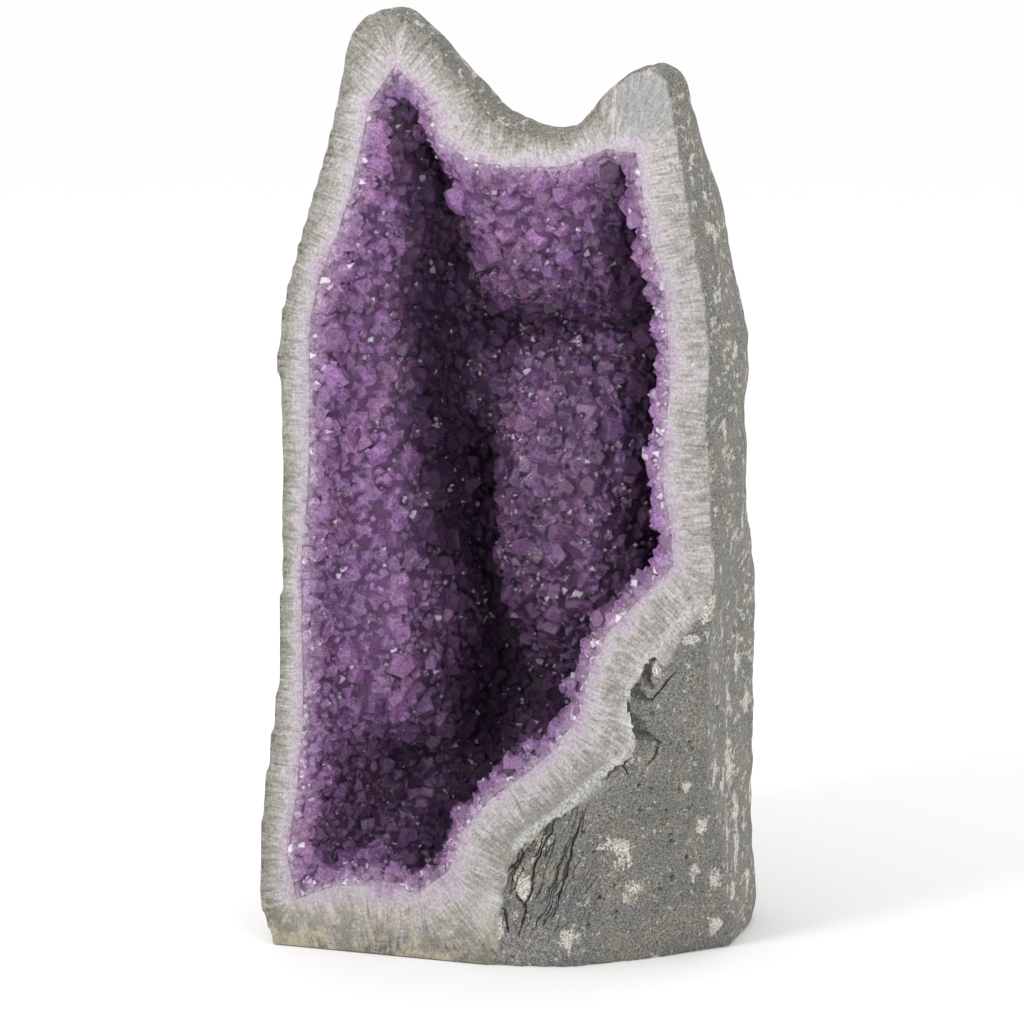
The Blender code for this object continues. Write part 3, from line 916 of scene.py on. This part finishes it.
quartz_rim = merged_copy("quartz_band", "quartz_rim")
spots = places(quartz_rim)
ring_faces = [face.index for face in quartz_rim.data.polygons
              if max(spots[vert, 1] for vert in face.vertices) < FRONT + ON_CUT]
spots[spots[:, 1] < FRONT + ON_CUT, 1] = FRONT - RIM_PROUD
put(quartz_rim, spots)
edit_faces(quartz_rim, ring_faces)
bpy.ops.mesh.subdivide(number_cuts=9)
bpy.ops.object.mode_set(mode="OBJECT")
rim_guides(quartz_rim)

quartz, quartz_tree, quartz_shader = new_finish("fibrous_quartz")
quartz_colour, quartz_relief = cut_stone(quartz_tree)
quartz_tree.links.new(quartz_colour, quartz_shader.inputs["Base Color"])
embossed(quartz_tree, quartz_shader, quartz_relief, 0.6, 0.5 * MM)
quartz_shader.inputs["Roughness"].default_value = RIM_ROUGHNESS
quartz_shader.inputs["Specular IOR Level"].default_value = STONE_GLOSS
quartz_rim.data.materials.append(quartz)
only(quartz_rim)
bpy.ops.object.shade_smooth_by_angle(angle=math.radians(30))
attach(quartz_rim, "root")
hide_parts("quartz_band")


# Amethyst crust
# Violet quartz crystals cover the whole hollow. They stand close together, grown into one
# crust, each with six sides and a tip of six unequal faces, and the saw cut through the
# outermost ones at the rim.

BED_GRID = 2.8 * MM
# How far the back of the bed swells into the quartz, in mm
BED_SWELL = 1.3
BED_SWELL_BY_CUT = 2.4

crystal_bed = merged_copy("amethyst_druse", "crystal_bed")
apply_modifier(crystal_bed, "REMESH", mode="VOXEL", voxel_size=BED_GRID)
spots = places(crystal_bed)
on_front = (spots[:, 1] < FRONT + 1.2 * BED_GRID) & (outward(crystal_bed)[:, 1] < SQUARE_ON)
inner_skin = crystal_bed.vertex_groups.new(name="skin")
inner_skin.add([int(number) for number in np.flatnonzero(~on_front)], 1.0, "REPLACE")
apply_modifier(crystal_bed, "SMOOTH", factor=0.5, iterations=14, vertex_group="skin")

crust = bmesh.new()
crust.from_mesh(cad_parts["amethyst_druse"].data)
bmesh.ops.remove_doubles(crust, verts=crust.verts, dist=2e-6)
crust.faces.index_update()
crust_cut = cut_face_of(crust)
crust_rim = rims_of_cut(crust, crust_cut)[0]
crust_open = behind(crust_rim, crust_cut)
mouth = outline_of(crust_rim)
crust_surface = BVHTree.FromBMesh(crust)
crust.free()


def faces_hollow(place):
    """Whether a place of the crust belongs to the skin that looks into the hollow."""
    return crust_surface.find_nearest(place)[2] in crust_open


spots = places(crystal_bed)
facing = outward(crystal_bed)
for number in range(len(spots)):
    spot = Vector(spots[number])
    if not on_front[number] and not faces_hollow(spot):
        by_cut = max(0.0, 1 - (spot.y - FRONT) / (6 * MM))
        spots[number] += facing[number] * (BED_SWELL + BED_SWELL_BY_CUT * by_cut) * MM
        on_front[number] = spots[number, 1] < FRONT + 3.5 * MM
spots[on_front, 1] = FRONT
spots[:, 1] = np.maximum(spots[:, 1], FRONT)
put(crystal_bed, spots)
rim_guides(crystal_bed)

# By the cut the crust falls back from the quartz, so that whole crystals stand there too
CRUST_STEP = 1.6 * MM
CRUST_FALL = 0.9
across = np.empty(len(spots))
crystal_bed.data.attributes["across"].data.foreach_get("value", across)
inside = (across - 1) * GUIDE_UNIT
fall = FRONT + np.minimum(inside, CRUST_STEP) + CRUST_FALL * np.clip(inside - CRUST_STEP, 0, 8 * MM)
spots[:, 1] = np.where(inside > 0, np.maximum(spots[:, 1], fall), spots[:, 1])
put(crystal_bed, spots)
crystal_bed.data.attributes["depth"].data.foreach_set("value", (spots[:, 1] - FRONT) / GUIDE_UNIT)
bed_surface = BVHTree.FromObject(crystal_bed, bpy.context.evaluated_depsgraph_get())
quartz_edge = flat_tree(crystal_edge)

# Tip shapes: a six-sided column cut by three to six unequal tip planes, with its root at z = -1
TIP_SHAPES = 12
SIDE_GAP = 0.87
TIP_LEAN = math.radians(50)


def crystal_shape(number):
    """One crystal of about unit radius, as its corner places and its faces."""
    luck = np.random.default_rng(100 + number)
    bpy.ops.object.select_all(action="DESELECT")
    bpy.ops.mesh.primitive_cube_add(size=4, location=(0, 0, 1))
    blank = bpy.context.object
    bpy.ops.object.mode_set(mode="EDIT")
    lean = Vector((luck.uniform(-0.12, 0.12), luck.uniform(-0.12, 0.12), 0))
    for side in range(6):
        angle = math.radians(60 * side) + luck.uniform(-0.03, 0.03)
        out = Vector((math.cos(angle), math.sin(angle), 0))
        bpy.ops.mesh.select_all(action="SELECT")
        bpy.ops.mesh.bisect(
            plane_co=out * SIDE_GAP * luck.uniform(0.8, 1.12), plane_no=out,
            use_fill=True, clear_outer=True, threshold=1e-5)
        large = side % 2 == 0
        if not large and luck.random() < 0.55:
            continue
        further = luck.uniform(-0.12, 0.0) if large else luck.uniform(0.0, 0.16)
        peak = lean + Vector((0, 0, 1.0)) + out * further
        slope = out * math.sin(TIP_LEAN) + Vector((0, 0, math.cos(TIP_LEAN)))
        bpy.ops.mesh.select_all(action="SELECT")
        bpy.ops.mesh.bisect(
            plane_co=peak, plane_no=slope, use_fill=True, clear_outer=True, threshold=1e-5)
    bpy.ops.mesh.select_all(action="SELECT")
    bpy.ops.mesh.remove_doubles(threshold=0.02)
    bpy.ops.mesh.normals_make_consistent(inside=False)
    bpy.ops.object.mode_set(mode="OBJECT")
    corners = places(blank) + np.array(blank.location)
    faces = [tuple(face.vertices) for face in blank.data.polygons]
    bpy.data.objects.remove(blank)
    return corners, faces


shapes = [crystal_shape(number) for number in range(TIP_SHAPES)]

# Places for crystals: large ones first, then smaller ones in the room that is left
luck = np.random.default_rng(21)
mesh = crystal_bed.data
mesh.calc_loop_triangles()
triangles = np.empty(len(mesh.loop_triangles) * 3, int)
mesh.loop_triangles.foreach_get("vertices", triangles)
triangles = triangles.reshape(-1, 3)
spots = places(crystal_bed)
corner_a, corner_b, corner_c = (spots[triangles[:, corner]] for corner in range(3))
cross = np.cross(corner_b - corner_a, corner_c - corner_a)
areas = np.linalg.norm(cross, axis=1) / 2
normals = cross / (2 * areas[:, None] + 1e-12)
middles = (corner_a + corner_b + corner_c) / 3
by_cut = (
    (across[triangles].mean(axis=1) > 1.12) & (middles[:, 1] < FRONT + 8 * MM)
    & (normals[:, 1] < -0.2))
open_side = np.array([
    faces_hollow(Vector(middle)) and middle[1] > FRONT + 1.0 * MM for middle in middles
]) | by_cut
weights = areas * open_side
weights /= weights.sum()
TRIES = 56000
picked = luck.choice(len(weights), TRIES, p=weights)
first, second = luck.random(TRIES), luck.random(TRIES)
flip = first + second > 1
first[flip], second[flip] = 1 - first[flip], 1 - second[flip]
tried = (corner_a[picked] + (corner_b - corner_a)[picked] * first[:, None]
         + (corner_c - corner_a)[picked] * second[:, None])
# By the cut no crystal is larger than this, and further in they may be larger
RIM_RADIUS = 2.4 * MM
RADIUS_BY_DEPTH = 0.32
# Radii by the order of the tries: up to this share of them, this radius
WIDTHS = ((0.003, 7.2 * MM), (0.03, 5.8 * MM), (0.24, 4.4 * MM), (1.0, 2.7 * MM))
radii = np.empty(TRIES)
order = np.arange(TRIES) / TRIES
for share, radius in reversed(WIDTHS):
    radii[order < share] = radius
radii *= luck.uniform(0.85, 1.15, TRIES)
radii = np.minimum(radii, RIM_RADIUS + RADIUS_BY_DEPTH * (tried[:, 1] - FRONT))
CELL = 10.5 * MM
CROWDING = 0.63
cells = {}
grown = []
for number in range(TRIES):
    place = tried[number]
    key = tuple(int(math.floor(value / CELL)) for value in place)
    clear = True
    for i, j, k in product((-1, 0, 1), repeat=3):
        for other in cells.get((key[0] + i, key[1] + j, key[2] + k), ()):
            gap = tried[other] - place
            if gap @ gap < (CROWDING * (radii[other] + radii[number])) ** 2:
                clear = False
    if clear:
        cells.setdefault(key, []).append(number)
        grown.append(number)


def sawn(corners, faces, level):
    """A crystal with what stands in front of the cut taken off, or nothing if all of it does."""
    if corners[:, 1].min() >= level:
        return corners, faces
    shape = bmesh.new()
    verts = [shape.verts.new(corner) for corner in corners]
    for face in faces:
        shape.faces.new([verts[number] for number in face])
    bmesh.ops.bisect_plane(
        shape, geom=shape.verts[:] + shape.edges[:] + shape.faces[:], dist=1e-7,
        plane_co=(0, level, 0), plane_no=(0, -1, 0), clear_outer=True)
    open_edges = [edge for edge in shape.edges if edge.is_boundary]
    if open_edges:
        bmesh.ops.contextual_create(shape, geom=open_edges)
    shape.verts.index_update()
    corners = np.array([vert.co[:] for vert in shape.verts]).reshape(-1, 3)
    faces = [tuple(vert.index for vert in face.verts) for face in shape.faces]
    shape.free()
    return corners, faces


def turned(axis, spin):
    """A turn that lays the z axis along another axis, after a spin round it."""
    return np.array(axis.to_track_quat("Z", "Y").to_matrix() @ Matrix.Rotation(spin, 3, "Z"))


SIGHT_LINES = 40
GOLDEN_ANGLE = 2.39996


def shelter(place, normal):
    """How closed in a place of the hollow is: 0 in the open and 1 deep in a groove."""
    start = Vector(place) + normal * 5 * MM
    seen = open_lines = 0
    for number in range(SIGHT_LINES):
        height = 1 - (number + 0.5) / SIGHT_LINES
        angle = number * GOLDEN_ANGLE
        flat = math.sqrt(1 - height ** 2)
        ray = Vector((flat * math.cos(angle), flat * math.sin(angle), height))
        way = normal.to_track_quat("Z", "Y") @ ray
        seen += height
        if crust_surface.ray_cast(start, way)[0] is None:
            open_lines += height
    return 1 - open_lines / seen


# Folds of the hollow where little light falls, darkened with painted shade: share of painted shade, half
# width in mm, (x, z) in mm
PAINTED_SHADE_FOLDS = [
    (0.88, 15, ((-44, 430), (-38, 380), (-38, 350), (-44, 320))),
    (0.93, 17, ((-44, 320), (-40, 250), (-35, 200))),
    (0.93, 13, ((-35, 200), (-24, 145))),
    (0.93, 20, ((-24, 145), (-26, 105), (-24, 85))),
    (0.88, 19, ((-24, 85), (-46, 44))),
    (0.75, 15, ((-40, 300), (-20, 296), (8, 302))),
    (0.60, 8, ((60, 390), (55, 350))),
    (0.80, 11, ((55, 350), (54, 310), (60, 270), (62, 220), (60, 195), (53, 180))),
    (0.60, 14, ((-22, 295), (-21, 245), (-6, 225), (6, 192), (-4, 150))),
    (0.92, 24, ((-26, 120), (-7, 112), (14, 110))),
    (0.21, 42, ((22, 262), (22, 160))),
    (0.13, 34, ((-76, 118), (-76, 70))),
]
# Depths in mm between which painted shade darkens the deep of the hollow, and what each part takes away
DEEP_FROM = 34
DEEP_TO = 50
DEEP_SHARE = 0.34
DEEPEST_FROM = 60
DEEPEST_SHARE = 0.003
# Crystals with more than this share of their sight lines closed get painted shade
CLOSED_FROM = 0.5
CLOSED_SHARE = 0.5


def painted_shade_of(place, normal):
    """How much painted shade the crystals get at a place, from the folds, how closed in and how deep it
    is.
    """
    point = Vector(place)
    moved = point + Vector((1, 0, 0)) * 5 * MM * noise.noise(point / (14 * MM))
    light = 1.0
    for share, half, line in PAINTED_SHADE_FOLDS:
        gap = min(gap_to_line(moved, line)[0] / (half * MM), 1.0)
        light = min(light, 1 - share * (1 - gap ** 2.5))
    depth = (place[1] - FRONT) / MM
    light *= 1 - max(CLOSED_SHARE * (shelter(place, normal) - CLOSED_FROM), 0.0)
    deep = min(max((depth - DEEP_FROM) / (DEEP_TO - DEEP_FROM), 0.0), 1.0)
    light *= 1 - DEEP_SHARE * deep - DEEPEST_SHARE * max(depth - DEEPEST_FROM, 0.0)
    return (1 - light) * min(max((depth - 1.5) / 6, 0.0), 1.0)


class Cluster:
    """Crystals gathered for one mesh, with their values for the material."""

    def __init__(self):
        self.corners, self.faces, self.tones, self.tips, self.glooms, self.kinds = [], [], [], [], [], []
        self.total = 0
        self.cuts = 0

    def add(self, corners, faces, tips, gloom, tone, kind):
        self.corners.append(corners)
        self.faces += [tuple(self.total + corner for corner in face) for face in faces]
        self.tones.append(np.full(len(corners), tone))
        self.tips.append(tips)
        self.glooms.append(np.full(len(corners), gloom))
        self.kinds += [kind] * len(faces)
        self.total += len(corners)


# The flat ends of sawn crystals lie at levels of their own, so that no two share a plane
LEVELS = 28
FIRST_LEVEL = 0.004 * MM
LEVEL_STEP = 0.0018 * MM


def grow(cluster, base, axis, radius, tall, gloom, kind):
    """Puts one crystal on the crust, and saws it off where it would stand out of the cut."""
    corners, faces = shapes[int(luck.integers(TIP_SHAPES))]
    size = np.array([radius * 1.12, radius * luck.uniform(0.95, 1.25), tall])
    spin = luck.uniform(0, 2 * math.pi)
    tips = np.clip(corners[:, 2], 0, 1)
    moved = (corners * size) @ turned(axis, spin).T + base
    level = FRONT - FIRST_LEVEL - LEVEL_STEP * (cluster.cuts % LEVELS)
    if moved[:, 1].min() < level:
        cluster.cuts += 1
        moved, faces = sawn(moved, faces, level)
        tips = np.full(len(moved), 0.6)
        if len(moved) < 4:
            return
    cluster.add(moved, faces, tips, gloom, luck.random(), kind)


CLEAR_SHARE = 0.30
GLINT_SHARE = 0.26
LARGE_GLINT_SHARE = 0.055
# Crystals under more painted shade than this take the shaded copy of the finish
DEEP_PAINTED_SHADE = 0.72
TILT = 0.28
LEAN_IN = 1.5
ROOT_SHARE = 0.25
# Least and most height of a crystal over its radius
HEIGHTS = (0.65, 1.25)
cluster = Cluster()
glooms = []
for number in grown:
    normal = Vector(normals[picked[number]])
    radius = radii[number]
    axis = (normal + Vector(luck.normal(0, TILT, 3))).normalized()
    if by_cut[picked[number]]:
        above_cut = Vector((tried[number][0], 0, tried[number][2]))
        inwards = (above_cut - quartz_edge.find(above_cut)[0]).normalized()
        axis = (axis + LEAN_IN * inwards).normalized()
    tall = radius * luck.uniform(*HEIGHTS)
    gloom = painted_shade_of(tried[number], normal)
    glooms.append(gloom)
    clear = luck.random() < CLEAR_SHARE
    kind = 2 if gloom > DEEP_PAINTED_SHADE else int(clear)
    base = tried[number] - np.array(axis) * ROOT_SHARE * radius
    grow(cluster, base, axis, radius, tall, gloom, kind)

# Tiny crystals grew on the flanks of the larger ones
TINY_CRYSTALS = 1700
TINY_RADII = (0.9, 1.7)
TINY_HEIGHTS = (0.8, 1.3)
for place in luck.choice(len(grown), TINY_CRYSTALS):
    number = grown[place]
    normal = Vector(normals[picked[number]])
    radius = luck.uniform(*TINY_RADII) * MM
    aside = np.array(Vector(luck.normal(0, 1, 3)).cross(normal).normalized())
    base = tried[number] + aside * radii[number] * 0.62 + np.array(normal) * radii[number] * 0.35
    axis = (normal + Vector(luck.normal(0, 0.5, 3))).normalized()
    kind = 2 if glooms[place] > DEEP_PAINTED_SHADE else 1
    grow(cluster, base, axis, radius, radius * luck.uniform(*TINY_HEIGHTS), glooms[place], kind)

# Fringe crystals stand all round the mouth of the hollow and reach in over its edge
FRINGE_STEP = 2.7 * MM
LARGE_SHARE = 0.22
LARGE_RADII = (3.2, 4.8)
SMALL_RADII = (1.8, 3.2)
FRINGE_HEIGHTS = (1.0, 1.7)
FRINGE_CLEAR_SHARE = 0.4
LOW_FRINGE_PAINTED_SHADE = 0.26
mouth_turn = turn_of(mouth)
travelled = 0.0
next_crystal = 0.0
for number, (x, z) in enumerate(mouth):
    travelled += LINE_STEP
    if travelled < next_crystal:
        continue
    radii_here = LARGE_RADII if luck.random() < LARGE_SHARE else SMALL_RADII
    radius = luck.uniform(*radii_here) * MM
    next_crystal = travelled + 0.75 * (radius + luck.uniform(0.0, 0.6) * FRINGE_STEP)
    inward = out_of(mouth, number, 9, -mouth_turn)
    lean = Vector((luck.normal(0, TILT), luck.uniform(-0.15, 0.45), luck.normal(0, TILT)))
    axis = (inward + lean).normalized()
    ground = bed_surface.ray_cast(Vector((x, FRONT - 5 * MM, z)), Vector((0, 1, 0)))[0]
    depth = min(ground.y, FRONT + 7 * MM) if ground else FRONT + 4 * MM
    depth = max(depth, FRONT + 0.85 * radius)
    base = np.array((x, depth, z)) - np.array(axis) * radius * luck.uniform(0.2, 0.6)
    # The lower fringe gets some painted shade
    gloom = LOW_FRINGE_PAINTED_SHADE if z < 200 * MM and x > -86 * MM else 0.0
    tall = radius * luck.uniform(*FRINGE_HEIGHTS)
    grow(cluster, base, axis, radius, tall, gloom, int(luck.random() < FRINGE_CLEAR_SHARE))

# The largest crystals of the rim: (x, z) in mm, radius and length in mm, and their way in (x, z)
LARGE_FRINGE = [
    ((-8, 384), 5.2, 10.0, (0.25, -1.0)), ((2, 383), 4.2, 8.0, (0.1, -1.0)),
    ((14, 384), 4.0, 8.0, (-0.1, -1.0)), ((24, 383), 3.6, 7.0, (0.1, -1.0)),
    ((-20, 397), 4.5, 8.0, (-0.5, -0.8)), ((-56, 404), 4.0, 7.0, (0.9, -0.3)),
    ((74, 386), 4.5, 8.0, (-0.6, -0.8)), ((40, 383), 3.4, 6.5, (-0.2, -1.0)),
]
for (x, z), radius, tall, (way_x, way_z) in LARGE_FRINGE:
    axis = Vector((way_x, 0.15, way_z)).normalized()
    base = np.array((x * MM, FRONT + 5.0 * MM, z * MM))
    grow(cluster, base, axis, radius * MM, tall * MM, 0.0, 1)

crystal_mesh = bpy.data.meshes.new("amethyst_crystals")
crystal_mesh.from_pydata(np.concatenate(cluster.corners).tolist(), [], cluster.faces)
crystals = bpy.data.objects.new("amethyst_crystals", crystal_mesh)
bpy.context.scene.collection.objects.link(crystals)
crystal_mesh.polygons.foreach_set("material_index", cluster.kinds)
for name, values in (("tone", cluster.tones), ("tip", cluster.tips), ("gloom", cluster.glooms)):
    write_layer(crystals, name, np.concatenate(values))
rim_guides(crystals)

# A few small faces that look up to the key light get a painted glint: a near-white colour
GLINT_WAY = Vector((-0.35, -0.75, 0.55)).normalized()
painted_glints = crystal_mesh.attributes.new("painted_glint", "FLOAT", "FACE")
for face in crystal_mesh.polygons:
    lit = face.normal.dot(GLINT_WAY) > 0.5 and face.area < 16 * MM ** 2
    share = GLINT_SHARE if face.area < 5 * MM ** 2 else LARGE_GLINT_SHARE
    painted_glints.data[face.index].value = float(lit and luck.random() < share)

# The near black of painted shade
PAINTED_SHADE_VIOLET = (0.0105, 0.0052, 0.0125)
DEEP_VIOLET = (0.215, 0.098, 0.255)
VIOLET = (0.325, 0.160, 0.410)
MAUVE = (0.395, 0.172, 0.365)
LILAC = (0.66, 0.44, 0.69)
RIM_MAUVE = (0.47, 0.31, 0.48)
PALE_ROOT = (0.58, 0.505, 0.585)
PAINTED_GLINT_WHITE = (0.93, 0.88, 0.95)


def amethyst(name):
    """Violet quartz, paler by the cut, with a sugary grain and flat faces; painted highlight lightens its
    edges and tips, a few faces carry painted glints and the folds painted shade.
    """
    finish, tree, shader = new_finish(name)
    tone = attribute(tree, "tone")
    across = attribute(tree, "across")
    depth = attribute(tree, "depth")
    painted_glint = attribute(tree, "painted_glint")
    veil = speckle(tree, 4.0 * MM, 3.0, (0.2, 0.1, 0.5), swirl=0.6)
    sugar = speckle(tree, 1.5 * MM, 4.0, (0.7, 0.1, 0.2), roughness=0.65, swirl=1.2)
    hue = window(tree, speckle(tree, 24 * MM, 2.0, (0.4, 0.4, 0.1)), 0.42, 0.60)
    colour = blend(tree, window(tree, tone, -0.9, 1.0), DEEP_VIOLET, VIOLET)
    colour = painted(tree, colour, MAUVE, hue, 0.6)
    # Lilac veils are the crystals' own cloudiness; their growing lighter towards the tips is painted light
    veil_and_tip_light = times(tree, window(tree, veil, 0.40, 0.66), window(tree, attribute(tree, "tip"), 0.0, 1.0))
    colour = painted(tree, colour, LILAC, veil_and_tip_light, 0.5)
    rounded_normal = node(tree, "ShaderNodeBevel", samples=4, Radius=1.7 * MM)
    plain = tree.nodes.new("ShaderNodeNewGeometry")
    parting = node(tree, "ShaderNodeVectorMath", operation="DOT_PRODUCT")
    tree.links.new(rounded_normal.outputs["Normal"], parting.inputs[0])
    tree.links.new(plain.outputs["Normal"], parting.inputs[1])
    edge = window(tree, parting.outputs["Value"], 0.96, 0.82)
    pale = times(tree, window(tree, across, 2.2, 0.95), window(tree, depth, 1.6, 0.0))
    colour = painted(tree, colour, RIM_MAUVE, pale, 0.55)
    rooted = times(
        tree, window(tree, swayed(tree, across, veil, 1.0), 1.5, 1.0), window(tree, depth, 1.2, 0.5))
    colour = painted(tree, colour, PALE_ROOT, rooted, 0.8)
    colour = shaded(tree, colour, calc(tree, "MAXIMUM", scaled(tree, sugar, 3.6, -0.8), 0.2))
    sawn_face = shaded(tree, cut_stone(tree)[0], scaled(tree, tone, 0.3, 1.05))
    colour = painted(tree, colour, sawn_face, window(tree, depth, 0.006, 0.0))
    # Painted highlight: the rounded edges are lightened towards lilac
    colour = painted(tree, colour, LILAC, edge, 0.48)
    # Painted glint: the chosen faces are near white
    colour = painted(tree, colour, PAINTED_GLINT_WHITE, painted_glint, 0.9)
    # Painted shade: the crystals darken towards near black in the folds and the deep, a little less on
    # painted glints
    colour = painted(tree, colour, PAINTED_SHADE_VIOLET, attribute(tree, "gloom"), scaled(tree, painted_glint, -0.2, 0.96))
    tree.links.new(colour, shader.inputs["Base Color"])
    embossed(tree, shader, sugar, 0.5, 0.45 * MM, rounded_normal.outputs["Normal"])
    shader.inputs["IOR"].default_value = 1.54
    return finish


MURK = (0.55, 0.25, 0.60, 1)
# The third finish is a shaded copy of amethyst, duller and less clear, for crystals under much painted
# shade
# Name, roughness, transmission, specular level, specular tint and how fast light fades inside
for name, rough, passing, gloss, tint, density in (
    ("amethyst", 0.26, 0.25, 0.40, (0.85, 0.72, 0.92, 1), 60.0),
    ("clear_amethyst", 0.05, 0.50, 0.60, (1.0, 0.90, 1.0, 1), 35.0),
    ("shaded_amethyst", 0.40, 0.10, 0.12, (0.70, 0.45, 0.80, 1), 90.0),
):
    finish = amethyst(name)
    tree = finish.node_tree
    shader = tree.nodes["Principled BSDF"]
    shader.inputs["Roughness"].default_value = rough
    shader.inputs["Transmission Weight"].default_value = passing
    shader.inputs["Specular IOR Level"].default_value = gloss
    shader.inputs["Specular Tint"].default_value = tint
    murk = node(tree, "ShaderNodeVolumeAbsorption", Color=MURK, Density=density)
    tree.links.new(murk.outputs["Volume"], tree.nodes["Material Output"].inputs["Volume"])
    crystal_mesh.materials.append(finish)
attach(crystals, "root")
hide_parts("amethyst_druse")

# The bed between the crystals takes the painted shade of its nearest crystal
bases = search_tree([tried[number] for number in grown])
write_layer(crystal_bed, "gloom", [glooms[bases.find(spot)[1]] for spot in places(crystal_bed)])
bed_finish, bed_tree, bed_shader = new_finish("amethyst_root")
bed_face, bed_relief = cut_stone(bed_tree)
bed_deep = blend(bed_tree, speckle(bed_tree, 5 * MM, 2.0), (0.06, 0.024, 0.075), (0.17, 0.075, 0.19))
bed_deep = painted(bed_tree, bed_deep, PAINTED_SHADE_VIOLET, attribute(bed_tree, "gloom"))
bed_front = window(bed_tree, attribute(bed_tree, "depth"), 0.42, 0.16)
bed_tree.links.new(blend(bed_tree, bed_front, bed_deep, bed_face), bed_shader.inputs["Base Color"])
embossed(bed_tree, bed_shader, bed_relief, 0.6, 0.5 * MM)
bed_shader.inputs["Roughness"].default_value = RIM_ROUGHNESS
bed_shader.inputs["Specular IOR Level"].default_value = STONE_GLOSS
crystal_bed.data.materials.clear()
crystal_bed.data.materials.append(bed_finish)
only(crystal_bed)
bpy.ops.object.shade_smooth_by_angle(angle=math.radians(35))
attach(crystal_bed, "root")
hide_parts("amethyst_druse")
